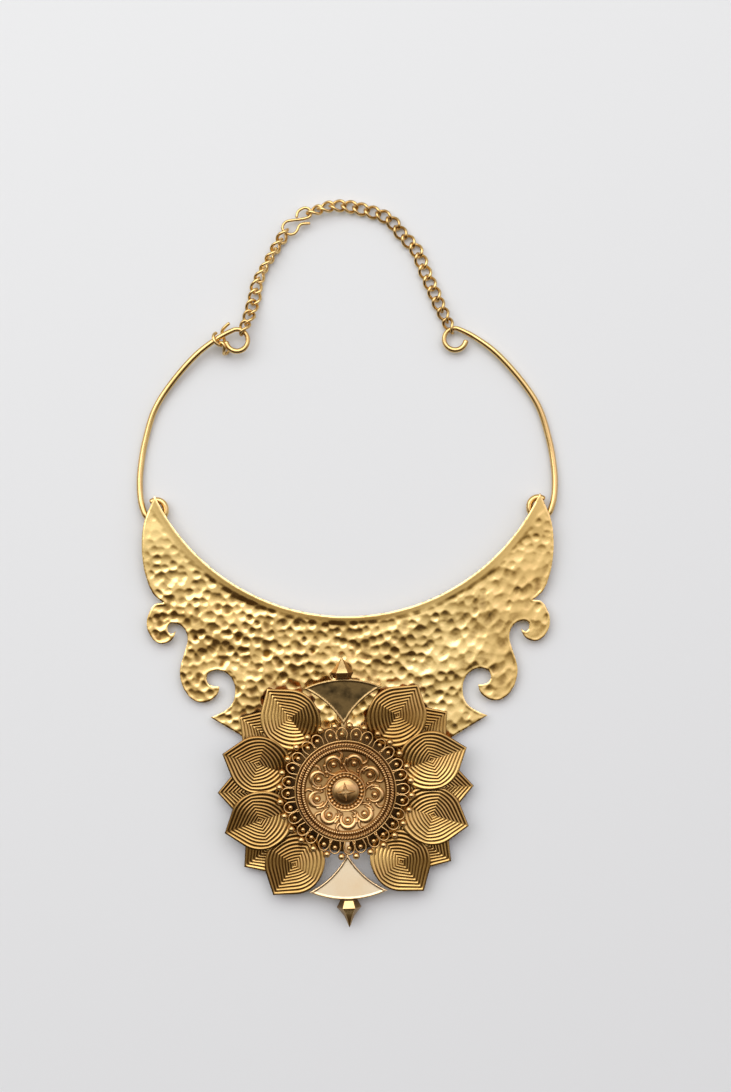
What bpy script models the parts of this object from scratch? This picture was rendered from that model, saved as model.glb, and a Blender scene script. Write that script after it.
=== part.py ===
"""Bib necklace in brass: a hammered crescent, a layered flower, two neck wires and a curb chain.

It lies face up: X runs across the bib, Y from the flower up to the chain, Z away from the table.
Lengths are metres. Sizes are given from the flower's centre, and the origin is under the whole
necklace's middle, on the table.
"""
import math

import bmesh
import bpy
from mathutils import Matrix, Vector

MM = 0.001
CLEARANCE = 0.3 * MM

# Hammered crescent plate
PLATE_HALF_WIDTH = 75.2 * MM
PLATE_HEIGHT = 107.6 * MM
PLATE_THICKNESS = 1.0 * MM
PLATE_BEND_RADIUS = 1600 * MM
PLATE_SLOPE = 0.045
PLATE_STRIP = 9 * MM
NECKLINE_DEPTH = 44.5 * MM
NECKLINE_STEPS = 9
LOBE_RADIUS = 22.5 * MM
LOBE_START_ANGLE = math.radians(22)
LOBE_STEPS = 5

# Staples soldered behind the horns, and the wire eyes that they hold
STAPLE_DIAMETER = 1.3 * MM
EYE_BELOW_TIP = 4.7 * MM
EYE_INBOARD_OF_TIP = 0.5 * MM
HORN_EYE_RADIUS = 3.2 * MM
HORN_EYE_ENTRY_RADIUS = 4.75 * MM

# Neck wires
WIRE_DIAMETER = 2.3 * MM
WIRE_END_TAPER = 0.74
WIRE_RISE = 61.4 * MM
UPPER_EYE_INSET = 29.9 * MM
UPPER_EYE_RADIUS = 4.0 * MM
EYE_PAST_LAST_LINK = 0.3
TABLE_GAP = 0.1 * MM

# Curb chain
LINK_WIRE = 0.9 * MM
LINK_PITCH = 4.43 * MM
LINK_SLACK = 0.4 * MM
LINK_WIDTH = 4.95 * MM
LINK_SIDES = 10
LINK_TWIST = math.radians(58)

# Hooks of round wire
HOOK_WIRE = 1.1 * MM
TAIL_HOOK_RADIUS = 2.45 * MM
TAIL_HOOK_DROP = 0.5 * MM
TAIL_LINK_REACH = 1.5 * MM
TAIL_LINK_ROLL = math.radians(-66)

# Flower
FLOWER_SIDE_OFFSET = -1.45 * MM
FLOWER_TURN = math.radians(1.15)
BASE_RADIUS = 23.2 * MM
BASE_THICKNESS = 0.8 * MM
PETAL_RADIUS = 33.2 * MM
PETAL_HALF_WIDTH = 10.7 * MM
PETAL_TIP_REACH = 13.6 * MM
PETAL_ROOT_REACH = 12.4 * MM
PETAL_SHEET = 0.5 * MM
PETAL_DOME = 1.2 * MM
PETAL_RIDGE = 0.3 * MM
PETAL_RIDGES = 9
PETAL_ROLL = math.radians(3.4)
BACK_PETAL_SHEET = 0.7 * MM
BACK_PETAL_RIDGES = 4
BACK_PETAL_WIDTH = 0.91

# Fans with their finials
FAN_APEX = 24.0 * MM
FAN_CORNER_RADIAL = 37.7 * MM
FAN_HALF_CHORD = 14.3 * MM
FAN_PEAK = 40.8 * MM
FAN_SIDE_SAG = 1.6 * MM
FAN_THICKNESS = 0.8 * MM
FAN_RIM = 0.9 * MM
FAN_RECESS = 0.3 * MM
FAN_FOOT_WIDTH = 1.8 * MM
FAN_FOOT_LENGTH = 3.0 * MM
FINIAL_BASE_RADIUS = 3.2 * MM
FINIAL_BELLY_RADIUS = 4.4 * MM
FINIAL_BELLY_FROM_BASE = 2.3 * MM
FINIAL_LENGTH = 10.2 * MM
FINIAL_SIDES = 6

# Filigree gallery
GALLERY_ARCHES = 28
GALLERY_THICKNESS = 0.7 * MM
GALLERY_BEAD_CIRCLE = 24.0 * MM
GALLERY_BEAD_RADIUS = 0.9 * MM
GALLERY_ARCH_RADIUS = 23.2 * MM
GALLERY_WIRE = 0.65 * MM
GALLERY_RIM = 0.8 * MM

# Cast medallion with its boss
MEDALLION_RADIUS = 17.8 * MM
MEDALLION_HEIGHT = 6.9 * MM
MEDALLION_WALL = 1.1 * MM
MEDALLION_SCROLLS = 9
SCROLL_COLUMNS = 5
SCROLL_CIRCLE = 10.65 * MM
SCROLL_BEAD_RADIUS = 1.3 * MM
SCROLL_BEAD_HEIGHT = 0.9 * MM
SCROLL_RIDGE_RADIUS = 2.9 * MM
SCROLL_RIDGE_HEIGHT = 0.6 * MM
BOSS_RADIUS = 7.2 * MM
BOSS_HEIGHT = 3.1 * MM

# Plate edge from the horn tip down to the side point, right half:
# share of the half width, share of the height, kind of point
PLATE_EDGE = [
    (0.935, 1.000, "corner"),
    (0.965, 0.953, "smooth"),
    (0.988, 0.911, "smooth"),
    (1.000, 0.850, "smooth"),
    (0.996, 0.776, "smooth"),
    (0.979, 0.720, "smooth"),
    (0.947, 0.667, "smooth"),
    (0.898, 0.637, "corner"),
    (0.939, 0.632, "smooth"),
    (0.969, 0.603, "smooth"),
    (0.981, 0.563, "smooth"),
    (0.965, 0.526, "smooth"),
    (0.926, 0.500, "smooth"),
    (0.880, 0.501, "smooth"),
    (0.851, 0.518, "smooth"),
    (0.840, 0.541, "corner"),
    (0.864, 0.530, "smooth"),
    (0.880, 0.548, "smooth"),
    (0.872, 0.563, "smooth"),
    (0.846, 0.567, "smooth"),
    (0.806, 0.554, "smooth"),
    (0.786, 0.530, "smooth"),
    (0.783, 0.507, "smooth"),
    (0.793, 0.479, "smooth"),
    (0.810, 0.442, "smooth"),
    (0.822, 0.402, "smooth"),
    (0.815, 0.366, "smooth"),
    (0.791, 0.329, "smooth"),
    (0.753, 0.303, "smooth"),
    (0.707, 0.296, "smooth"),
    (0.664, 0.307, "smooth"),
    (0.637, 0.328, "smooth"),
    (0.630, 0.350, "corner"),
    (0.665, 0.353, "smooth"),
    (0.689, 0.366, "smooth"),
    (0.688, 0.389, "smooth"),
    (0.664, 0.403, "smooth"),
    (0.625, 0.405, "smooth"),
    (0.584, 0.390, "smooth"),
    (0.559, 0.362, "smooth"),
    (0.554, 0.329, "smooth"),
    (0.566, 0.296, "smooth"),
    (0.597, 0.271, "smooth"),
    (0.674, 0.245, "corner"),
]

# Neck wire between its eyes: share of the horn eye's distance from the middle, share of the rise,
# share of the horn eye's height above the table, share of the upper eye's
WIRE_RUN = [
    (1.083, 0.046, 0.75, 0.0),
    (1.090, 0.153, 0.35, 0.0),
    (1.083, 0.262, 0.10, 0.0),
    (1.063, 0.392, 0.00, 0.0),
    (1.013, 0.581, 0.00, 0.1),
    (0.926, 0.739, 0.00, 0.3),
    (0.795, 0.907, 0.00, 0.65),
    (0.676, 1.010, 0.00, 0.9),
]

# Routes of the hook and of the chain's two runs, in millimetres from the flower's centre
HOOK_ROUTE = [
    (-17.9, 209.9), (-17.4, 211.1), (-16.3, 212.2), (-14.6, 212.8), (-13.1, 212.2), (-12.5, 211.0),
    (-13.0, 209.6), (-14.7, 208.9), (-17.1, 208.5), (-19.8, 208.2), (-21.5, 207.8), (-22.7, 206.6),
    (-22.9, 205.1), (-22.0, 203.8), (-20.4, 203.1), (-18.7, 203.4), (-17.6, 204.6), (-17.1, 205.8),
    (-16.3, 206.7), (-15.1, 207.0), (-13.1, 207.1),
]
RIGHT_ROUTE = [
    (-11.2, 211.6), (-7.0, 213.0), (-2.1, 213.5), (2.3, 213.1), (6.6, 212.1), (11.3, 210.7),
    (15.5, 208.9), (18.8, 205.7), (21.1, 202.3), (24.2, 199.3), (26.5, 196.2), (27.9, 192.6),
    (29.4, 188.4), (31.1, 184.5), (32.9, 180.2), (34.4, 176.4), (36.1, 172.8), (37.8, 169.1),
]
LEFT_ROUTE = [
    (-22.75, 202.5), (-25.1, 198.8), (-27.4, 194.9), (-30.0, 190.5), (-32.4, 185.2),
    (-33.5, 179.9), (-34.8, 175.4), (-35.7, 172.5), (-37.3, 168.8),
]

# Each link from the hook to the eye: roll in degrees, height above its own rest in millimetres
RIGHT_LINKS = [(-54, 0), (-40, 0), (-26, 0), (-13, 0)] + [(0, 0)] * 10
RIGHT_LINKS += [(13, 0), (26, 0), (40, 0), (54, 0)]
LEFT_LINKS = [
    (-54, 0), (-64, 0), (-76, 0), (-80, 0), (-60, 0), (-36, 0), (-12, 0), (10, 0.5), (32, 1.2), (54, 2.0),
]

# Tail at the left eye, in millimetres: where its hook goes round the neck wire, that wire's
# direction there, the hook's free end (along and across the wire, and above it), the link's lie
TAIL_PLACE = (-46.7, 165.2)
TAIL_ALONG = (0.87, 0.49)
TAIL_FREE_END = [(1.9, 0.8, -1.6), (2.8, 1.9, -1.2), (4.3, 2.4, -0.8), (6.0, 2.7, -0.5)]
TAIL_LINK_LIE = (0.40, -0.59, -0.70)

# Front petals: place round the flower in degrees, lift as a share of the roll's drop, roll direction
FRONT_PETALS = [
    (18, 1, 0),
    (54, 0, 1),
    (126, 0, -1),
    (162, 0, -1),
    (198, 1, 0),
    (234, 0, 1),
    (306, 0, -1),
    (342, 0, -1),
]
BACK_PETALS = [0, 36, 144, 180, 216, 324]

# Places worked out from the sizes
TIP_X = PLATE_EDGE[0][0] * PLATE_HALF_WIDTH
NECKLINE_LOW = PLATE_HEIGHT - NECKLINE_DEPTH
NECKLINE_RADIUS = (TIP_X**2 + NECKLINE_DEPTH**2) / (2 * NECKLINE_DEPTH)
HORN_EYE_X = TIP_X - EYE_INBOARD_OF_TIP
HORN_EYE_Y = PLATE_HEIGHT - EYE_BELOW_TIP
HORN_EYE_Z = STAPLE_DIAMETER + CLEARANCE + WIRE_DIAMETER / 2
HORN_BACK = HORN_EYE_Z + WIRE_DIAMETER / 2 + 2 * CLEARANCE
UPPER_EYE_X = HORN_EYE_X - UPPER_EYE_INSET
UPPER_EYE_Y = HORN_EYE_Y + WIRE_RISE
WIRE_REST = WIRE_DIAMETER / 2 + TABLE_GAP
LINK_HALF_LENGTH = (LINK_PITCH + LINK_WIRE + LINK_SLACK) / 2
LINK_HALF_WIDTH = (LINK_WIDTH - LINK_WIRE) / 2


def plate_bend(x):
    """How far the rolled plate has dropped at a distance from its middle."""
    return PLATE_BEND_RADIUS - math.sqrt(PLATE_BEND_RADIUS**2 - x * x)


CROWN_AT_FLOWER = HORN_BACK + plate_bend(HORN_EYE_X) - PLATE_SLOPE * HORN_EYE_Y


def plate_back(x, y):
    """Height of the plate's back over the table."""
    return CROWN_AT_FLOWER + PLATE_SLOPE * y - plate_bend(x)


# Heights inside the flower, from the back of its base
BACK_PETAL_Z = BASE_THICKNESS + CLEARANCE
PETAL_DROP = PETAL_HALF_WIDTH * math.sin(PETAL_ROLL)
FRONT_PETAL_Z = BACK_PETAL_Z + BACK_PETAL_SHEET + PETAL_RIDGE + CLEARANCE + PETAL_DROP
FAN_Z = FRONT_PETAL_Z + PETAL_DROP + PETAL_SHEET + CLEARANCE
GALLERY_Z = FAN_Z + FAN_THICKNESS + CLEARANCE
SEAT_Z = CROWN_AT_FLOWER + PLATE_THICKNESS + CLEARANCE

# Places inside the whole necklace
TOP_REACH = max(y for x, y in RIGHT_ROUTE) * MM + LINK_WIDTH / 2
BOTTOM_REACH = -(FAN_PEAK + CLEARANCE + FINIAL_LENGTH)
FRAME_SHIFT = -(TOP_REACH + BOTTOM_REACH) / 2


def clear_scene():
    """Removes what a new file holds."""
    for item in list(bpy.data.objects):
        bpy.data.objects.remove(item, do_unlink=True)


def make_collection(name):
    """A collection of its own in the scene."""
    collection = bpy.data.collections.new(name)
    bpy.context.scene.collection.children.link(collection)
    return collection


def brass(name, colour, roughness):
    """One brass finish as a Principled material."""
    material = bpy.data.materials.new(name)
    material.use_nodes = True
    shader = material.node_tree.nodes["Principled BSDF"]
    shader.inputs["Base Color"].default_value = (*colour, 1)
    shader.inputs["Metallic"].default_value = 1.0
    shader.inputs["Roughness"].default_value = roughness
    return material


def add_part(name, data, parent, material, smooth=True):
    """One named piece of the necklace, with a finish of its own."""
    if not data.materials:
        data.materials.append(material)
    piece = bpy.data.objects.new(name, data)
    necklace.objects.link(piece)
    piece.parent = parent
    if smooth and isinstance(data, bpy.types.Mesh):
        data.shade_smooth()
        data.set_sharp_from_angle(angle=math.radians(35))
    return piece


def add_empty(name, parent, location, rotation=(0, 0, 0)):
    """A named place that pieces hang on."""
    empty = bpy.data.objects.new(name, None)
    necklace.objects.link(empty)
    empty.parent = parent
    empty.location = location
    empty.rotation_euler = rotation
    return empty


def mesh_from(source):
    """The welded mesh of a curve or of an object with modifiers, which is then removed."""
    bpy.context.scene.collection.objects.link(source)
    graph = bpy.context.evaluated_depsgraph_get()
    mesh = bpy.data.meshes.new_from_object(source.evaluated_get(graph))
    bpy.data.objects.remove(source)
    shape = bmesh.new()
    shape.from_mesh(mesh)
    bmesh.ops.remove_doubles(shape, verts=shape.verts, dist=0.002 * MM)
    shape.to_mesh(mesh)
    shape.free()
    return mesh


def wire_curve(name, points, diameter, cyclic=False, scales=None, bevel_steps=2):
    """A round wire along a list of points."""
    curve = bpy.data.curves.new(name, "CURVE")
    curve.dimensions = "3D"
    curve.bevel_depth = diameter / 2
    curve.bevel_resolution = bevel_steps
    curve.use_fill_caps = not cyclic
    spline = curve.splines.new("POLY")
    spline.points.add(len(points) - 1)
    spline.use_cyclic_u = cyclic
    for index, place in enumerate(points):
        spline.points[index].co = (*place, 1)
        spline.points[index].radius = scales[index] if scales else 1
    return curve


def flat_curve(name, outlines, thickness):
    """A flat sheet inside closed outlines, lying on its own zero level."""
    curve = bpy.data.curves.new(name, "CURVE")
    curve.dimensions = "2D"
    curve.fill_mode = "BOTH"
    curve.extrude = thickness / 2
    for outline in outlines:
        spline = curve.splines.new("POLY")
        spline.points.add(len(outline) - 1)
        spline.use_cyclic_u = True
        for index, (x, y) in enumerate(outline):
            spline.points[index].co = (x, y, 0, 1)
    mesh = mesh_from(bpy.data.objects.new(name, curve))
    mesh.transform(Matrix.Translation((0, 0, thickness / 2)))
    return mesh


def turned(name, profile, steps):
    """A turned solid from a profile of radius and height that runs down its outer side."""
    mesh = bpy.data.meshes.new(name)
    edges = [(index, index + 1) for index in range(len(profile) - 1)]
    mesh.from_pydata([(radius, 0, height) for radius, height in profile], edges, [])
    source = bpy.data.objects.new(name, mesh)
    screw = source.modifiers.new("turn", "SCREW")
    screw.axis = "Z"
    screw.steps = steps
    screw.render_steps = steps
    screw.use_merge_vertices = True
    screw.merge_threshold = 0.002 * MM
    return mesh_from(source)


def loft(name, rings, low_centre, high_centre):
    """A closed solid through rings of equal counts, closed by a point at each end."""
    shape = bmesh.new()
    loops = [[shape.verts.new(place) for place in ring] for ring in rings]
    count = len(rings[0])
    low = shape.verts.new(low_centre)
    high = shape.verts.new(high_centre)
    for index in range(count):
        following = (index + 1) % count
        shape.faces.new((low, loops[0][following], loops[0][index]))
        shape.faces.new((high, loops[-1][index], loops[-1][following]))
        for lower, upper in zip(loops, loops[1:]):
            shape.faces.new((lower[index], lower[following], upper[following], upper[index]))
    mesh = bpy.data.meshes.new(name)
    shape.to_mesh(mesh)
    shape.free()
    return mesh


def plate_outline():
    """The crescent's outline: neckline arc, scrolled edge and the lobe behind the flower."""
    curve = bpy.data.curves.new("plate_outline", "CURVE")
    curve.dimensions = "2D"
    curve.fill_mode = "BOTH"
    curve.extrude = PLATE_THICKNESS / 2
    curve.resolution_u = 2
    half = []
    sweep = math.asin(TIP_X / NECKLINE_RADIUS)
    for step in range(NECKLINE_STEPS):
        angle = sweep * step / NECKLINE_STEPS
        across = NECKLINE_RADIUS * math.sin(angle)
        up = NECKLINE_LOW + NECKLINE_RADIUS * (1 - math.cos(angle))
        half.append((across, up, "smooth"))
    half += [(x * PLATE_HALF_WIDTH, y * PLATE_HEIGHT, kind) for x, y, kind in PLATE_EDGE]
    for step in range(LOBE_STEPS + 1):
        angle = LOBE_START_ANGLE - (LOBE_START_ANGLE + math.pi / 2) * step / LOBE_STEPS
        kind = "corner" if step == 0 else "smooth"
        half.append((LOBE_RADIUS * math.cos(angle), LOBE_RADIUS * math.sin(angle), kind))
    other_half = [(-x, y, kind) for x, y, kind in reversed(half[1:-1])]
    spline = curve.splines.new("BEZIER")
    spline.bezier_points.add(len(half) + len(other_half) - 1)
    spline.use_cyclic_u = True
    for point, (x, y, kind) in zip(spline.bezier_points, half + other_half):
        point.co = (x, y, 0)
        handle = "VECTOR" if kind == "corner" else "AUTO"
        point.handle_left_type = handle
        point.handle_right_type = handle
    return curve


def bend_plate(mesh):
    """Cuts the flat plate into upright strips and rolls it to its curve and slope."""
    shape = bmesh.new()
    shape.from_mesh(mesh)
    bmesh.ops.dissolve_limit(shape, angle_limit=math.radians(1), verts=shape.verts, edges=shape.edges)
    strips = int(PLATE_HALF_WIDTH / PLATE_STRIP)
    for strip in range(-strips, strips + 1):
        geometry = shape.verts[:] + shape.edges[:] + shape.faces[:]
        place = (strip * PLATE_STRIP, 0, 0)
        bmesh.ops.bisect_plane(shape, geom=geometry, dist=0.001 * MM, plane_co=place, plane_no=(1, 0, 0))
    for vertex in shape.verts:
        x, y, z = vertex.co
        vertex.co.z = plate_back(x, y) + z + PLATE_THICKNESS / 2
    bmesh.ops.triangulate(shape, faces=shape.faces)
    shape.to_mesh(mesh)
    shape.free()


def staple_points(side):
    """A round-cornered staple from the plate down, under the eye's wire and up again."""
    bar_z = STAPLE_DIAMETER / 2
    inner_y = HORN_EYE_Y
    entry_radius = horn_eye_reach(math.pi / 2)
    spread = WIRE_DIAMETER / 2 + STAPLE_DIAMETER / 2 + CLEARANCE
    outer_y = HORN_EYE_Y - entry_radius - spread
    corner = STAPLE_DIAMETER / 2
    sunk = PLATE_THICKNESS / 2
    x = side * HORN_EYE_X
    return [
        (x, inner_y, plate_back(x, inner_y) + sunk),
        (x, inner_y, bar_z + corner),
        (x, inner_y - corner, bar_z),
        (x, outer_y + corner, bar_z),
        (x, outer_y, bar_z + corner),
        (x, outer_y, plate_back(x, outer_y) + sunk),
    ]


def horn_eye_reach(turned_by):
    """Radius of the horn eye's spiral after it has turned by an angle."""
    settled = math.radians(156)
    share = min(turned_by / settled, 1)
    return HORN_EYE_ENTRY_RADIUS + (HORN_EYE_RADIUS - HORN_EYE_ENTRY_RADIUS) * share


def neck_wire(name, side, upper_eye_z):
    """A neck wire: an eye behind the horn, a long bow and an open eye for the chain."""
    points = []
    scales = []
    start = math.radians(-24)
    turn = math.radians(281)
    steps = 11
    for step in range(steps, -1, -1):
        turned_by = turn * step / steps
        reach = horn_eye_reach(turned_by)
        angle = start - turned_by
        x = HORN_EYE_X + reach * math.cos(angle)
        points.append((x, HORN_EYE_Y + reach * math.sin(angle), HORN_EYE_Z))
        scales.append(1)
    run = [Vector(points[-2]), Vector(points[-1])]
    for across, up, low_share, high_share in WIRE_RUN:
        x = HORN_EYE_X * across
        z = WIRE_REST + (HORN_EYE_Z - WIRE_REST) * low_share + (upper_eye_z - WIRE_REST) * high_share
        run.append(Vector((x, HORN_EYE_Y + WIRE_RISE * up, z)))
    eye_start = math.radians(80)
    eye_turn = math.radians(268)
    eye_steps = 12
    eye = []
    for step in range(eye_steps + 1):
        angle = eye_start + eye_turn * step / eye_steps
        x = UPPER_EYE_X + UPPER_EYE_RADIUS * math.cos(angle)
        eye.append(Vector((x, UPPER_EYE_Y + UPPER_EYE_RADIUS * math.sin(angle), upper_eye_z)))
    path = smooth_path(run + eye[:2], 2)[2:-2]
    points += [tuple(place) for place in path[1:]] + [tuple(place) for place in eye[1:]]
    bow = len(path) - 1
    scales += [1 + (WIRE_END_TAPER - 1) * max(0, step - bow + 4) / 4 for step in range(1, bow + 1)]
    scales += [WIRE_END_TAPER] * eye_steps
    curve = wire_curve(name, [(side * x, y, z) for x, y, z in points], WIRE_DIAMETER, scales=scales)
    return curve


def smooth_path(points, cuts):
    """A smooth curve through points, with each stretch cut into equal parts."""
    places = [Vector(place) for place in points]
    padded = [2 * places[0] - places[1]] + places + [2 * places[-1] - places[-2]]
    path = []
    for before, start, end, after in zip(padded, padded[1:], padded[2:], padded[3:]):
        for cut in range(cuts):
            t = cut / cuts
            linear = (end - before) * t
            square = (2 * before - 5 * start + 4 * end - after) * t * t
            cube = (3 * start - before - 3 * end + after) * t**3
            path.append(start + 0.5 * (linear + square + cube))
    path.append(places[-1])
    return path


def link_points():
    """Centreline of one curb link, an oval twisted along its length."""
    points = []
    for step in range(LINK_SIDES):
        angle = 2 * math.pi * step / LINK_SIDES
        along = math.cos(angle)
        across = LINK_HALF_WIDTH * math.sin(angle)
        twist = LINK_TWIST * along
        points.append((LINK_HALF_LENGTH * along, across * math.cos(twist), across * math.sin(twist)))
    return points


def resting_height(roll):
    """How high a rolled link's middle lies when the link touches the table."""
    lowest = min(y * math.sin(roll) + z * math.cos(roll) for x, y, z in link_points())
    return LINK_WIRE / 2 - lowest


def place_link(link, centre, ahead, roll):
    """Turns a link along the chain and rolls it about that line."""
    forward = ahead.normalized()
    sideways = Vector((0, 0, 1)).cross(forward).normalized()
    upward = forward.cross(sideways)
    basis = Matrix((forward, sideways, upward)).transposed() @ Matrix.Rotation(roll, 3, "X")
    link.location = centre
    link.rotation_euler = basis.to_euler()


def chain_run(name, route, poses, data, parent, material):
    """Links spaced evenly along a route, each rolled and raised as its row says."""
    path = smooth_path([(x * MM, y * MM, 0) for x, y in route], 8)
    lengths = [0.0]
    for start, end in zip(path, path[1:]):
        lengths.append(lengths[-1] + (end - start).length)
    centres = []
    for index, (roll, lift) in enumerate(poses):
        distance = lengths[-1] * index / (len(poses) - 1)
        after = next((spot for spot, length in enumerate(lengths) if length > distance), len(path) - 1)
        share = (distance - lengths[after - 1]) / (lengths[after] - lengths[after - 1])
        centre = path[after - 1].lerp(path[after], share)
        centre.z = resting_height(math.radians(roll)) + TABLE_GAP + lift * MM
        centres.append(centre)
    for index, (roll, lift) in enumerate(poses):
        ahead = centres[min(index + 1, len(centres) - 1)] - centres[max(index - 1, 0)]
        link = add_part(f"{name}_{index + 1:02d}", data, parent, material)
        place_link(link, centres[index], ahead, math.radians(roll))
    return centres


def tail_hook_points(height):
    """A slanting loop round the neck wire with a straight free end, and where its link hangs."""
    along = Vector((*TAIL_ALONG, 0)).normalized()
    upward = Vector((0, 0, 1))
    across = upward.cross(along)
    raised_side = (upward - along).normalized()
    on_wire = Vector((TAIL_PLACE[0] * MM, TAIL_PLACE[1] * MM, height))
    centre = on_wire - across * TAIL_HOOK_DROP
    points = []
    steps = 12
    for step in range(steps + 1):
        angle = math.radians(95 - 275 * step / steps)
        spoke = raised_side * math.cos(angle) + across * math.sin(angle)
        points.append(centre + spoke * TAIL_HOOK_RADIUS)
    for forward, sideways, above in TAIL_FREE_END:
        points.append(on_wire + (along * forward + across * sideways + upward * above) * MM)
    return points, centre - across * TAIL_HOOK_RADIUS


def petal_rings(ridges, dome, sheet):
    """Rings of a pressed petal, from under its middle out to the edge and back over its ridges."""
    tangent = math.acos(PETAL_HALF_WIDTH / PETAL_TIP_REACH)
    round_steps = 5
    side = [tangent + (math.pi - tangent) * step / round_steps for step in range(round_steps)]
    angles = [0.0] + side + [math.pi] + [-angle for angle in reversed(side)]

    def ring(scale, height):
        points = []
        for angle in angles:
            turn = abs(angle)
            drop_shape = PETAL_HALF_WIDTH
            if turn < tangent:
                drop_shape = PETAL_HALF_WIDTH / math.cos(tangent - turn)
            root = max(0.0, -math.cos(turn)) ** 2
            drop_shape += (PETAL_ROOT_REACH - PETAL_HALF_WIDTH) * root
            end_reach = PETAL_TIP_REACH if turn < math.pi / 2 else PETAL_ROOT_REACH
            diamond = 1 / (abs(math.cos(turn)) / end_reach + abs(math.sin(turn)) / PETAL_HALF_WIDTH)
            squareness = 0.8 * (1 - scale) ** 1.4
            reach = scale * (drop_shape * (1 - squareness) + diamond * squareness)
            points.append((reach * math.cos(angle), reach * math.sin(angle), height))
        return points

    rings = []
    if dome > 0:
        rings.append(ring(0.5, dome * 0.75))
    rings.append(ring(1.0, 0.0))
    pitch = 1 / (PETAL_RIDGES + 0.4)
    for ridge in range(ridges):
        valley = 1 - ridge * pitch
        crest = valley - pitch / 2
        rings.append(ring(valley, sheet + dome * (1 - valley**2)))
        rings.append(ring(crest, sheet + dome * (1 - crest**2) + PETAL_RIDGE))
    last = 1 - ridges * pitch
    rings.append(ring(last, sheet + dome * (1 - last**2)))
    low_centre = (0, 0, dome)
    high_centre = (0, 0, sheet + dome)
    return rings, low_centre, high_centre


def fan_outline():
    """A fan: a point towards the flower, hollow sides and a bowed outer edge."""
    side = []
    steps = 5
    start = Vector((0, FAN_APEX))
    corner = Vector((FAN_HALF_CHORD, FAN_CORNER_RADIAL))
    inward = Vector((-(corner - start).y, (corner - start).x)).normalized()
    for step in range(steps):
        share = step / steps
        side.append(start.lerp(corner, share) + inward * FAN_SIDE_SAG * 4 * share * (1 - share))
    sagitta = FAN_PEAK - FAN_CORNER_RADIAL
    radius = (FAN_HALF_CHORD**2 + sagitta**2) / (2 * sagitta)
    spread = math.asin(FAN_HALF_CHORD / radius)
    arc = []
    arc_steps = 8
    for step in range(arc_steps + 1):
        angle = spread - 2 * spread * step / arc_steps
        arc.append(Vector((radius * math.sin(angle), FAN_PEAK - radius * (1 - math.cos(angle)))))
    other_side = [Vector((-place.x, place.y)) for place in reversed(side[1:])]
    return side + arc + other_side


def fan_mesh(name):
    """A fan plate with a raised rim round a sunk field."""
    shape = bmesh.new()
    face = shape.faces.new([shape.verts.new((x, y, 0)) for x, y in fan_outline()])
    face.normal_update()
    if face.normal.z > 0:
        face.normal_flip()
    raised = bmesh.ops.extrude_face_region(shape, geom=[face])["geom"]
    top = [item for item in raised if isinstance(item, bmesh.types.BMFace)]
    corners = [item for item in raised if isinstance(item, bmesh.types.BMVert)]
    bmesh.ops.translate(shape, verts=corners, vec=(0, 0, FAN_THICKNESS))
    bmesh.ops.recalc_face_normals(shape, faces=shape.faces)
    bmesh.ops.inset_region(shape, faces=top, thickness=FAN_RIM, use_even_offset=True)
    bmesh.ops.inset_region(shape, faces=top, thickness=0.1 * MM, depth=-FAN_RECESS, use_even_offset=True)
    mesh = bpy.data.meshes.new(name)
    shape.to_mesh(mesh)
    shape.free()
    return mesh


def fan_foot(name):
    """The foot that carries a fan on the flower's base, drawn from the side and given its width."""
    inner = FAN_APEX - 4.4 * MM
    outer = FAN_APEX + 0.7 * MM
    drop = FAN_Z - BASE_THICKNESS - CLEARANCE
    overlap = FAN_RECESS / 2
    side_view = [
        (inner, -drop),
        (inner + FAN_FOOT_LENGTH, -drop),
        (inner + FAN_FOOT_LENGTH, overlap),
        (outer, overlap),
        (outer, FAN_THICKNESS - FAN_RECESS - overlap),
        (inner, FAN_THICKNESS - FAN_RECESS - overlap),
    ]
    mesh = flat_curve(name, [side_view], FAN_FOOT_WIDTH)
    mesh.transform(Matrix.Translation((0, 0, -FAN_FOOT_WIDTH / 2)))
    mesh.transform(Matrix(((0, 0, 1, 0), (1, 0, 0, 0), (0, 1, 0, 0), (0, 0, 0, 1))))
    return mesh


def gallery_outlines():
    """Outlines of the pierced gallery: a scalloped edge, the arch openings and the inner circle."""
    sector = 2 * math.pi / GALLERY_ARCHES
    bead_half = GALLERY_BEAD_RADIUS / GALLERY_BEAD_CIRCLE
    bead_top = GALLERY_BEAD_CIRCLE + GALLERY_BEAD_RADIUS
    edge = []
    openings = []
    inner = MEDALLION_RADIUS + CLEARANCE
    opening_top = GALLERY_ARCH_RADIUS - GALLERY_WIRE
    opening_foot = inner + GALLERY_RIM
    half_opening = sector / 2 - GALLERY_WIRE / 2 / opening_top

    def polar(radius, angle):
        return (radius * math.cos(angle), radius * math.sin(angle))

    for arch in range(GALLERY_ARCHES):
        middle = arch * sector
        bead = middle - sector / 2
        edge += [
            polar(GALLERY_ARCH_RADIUS - 0.2 * MM, bead - bead_half),
            polar(bead_top - 0.1 * MM, bead - bead_half / 2),
            polar(bead_top - 0.1 * MM, bead + bead_half / 2),
            polar(GALLERY_ARCH_RADIUS - 0.2 * MM, bead + bead_half),
            polar(GALLERY_ARCH_RADIUS, middle),
        ]
        shoulder = (opening_top + opening_foot) / 2
        opening = [
            polar(opening_foot, middle - half_opening * 0.7),
            polar(opening_foot, middle + half_opening * 0.7),
            polar(shoulder, middle + half_opening),
            polar(opening_top - 0.3 * MM, middle + half_opening * 0.65),
            polar(opening_top, middle),
            polar(opening_top - 0.3 * MM, middle - half_opening * 0.65),
            polar(shoulder, middle - half_opening),
        ]
        openings.append(opening)
    ring_steps = 2 * GALLERY_ARCHES
    circle = [polar(inner, 2 * math.pi * step / ring_steps) for step in range(ring_steps)]
    return [edge, circle] + openings


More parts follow.
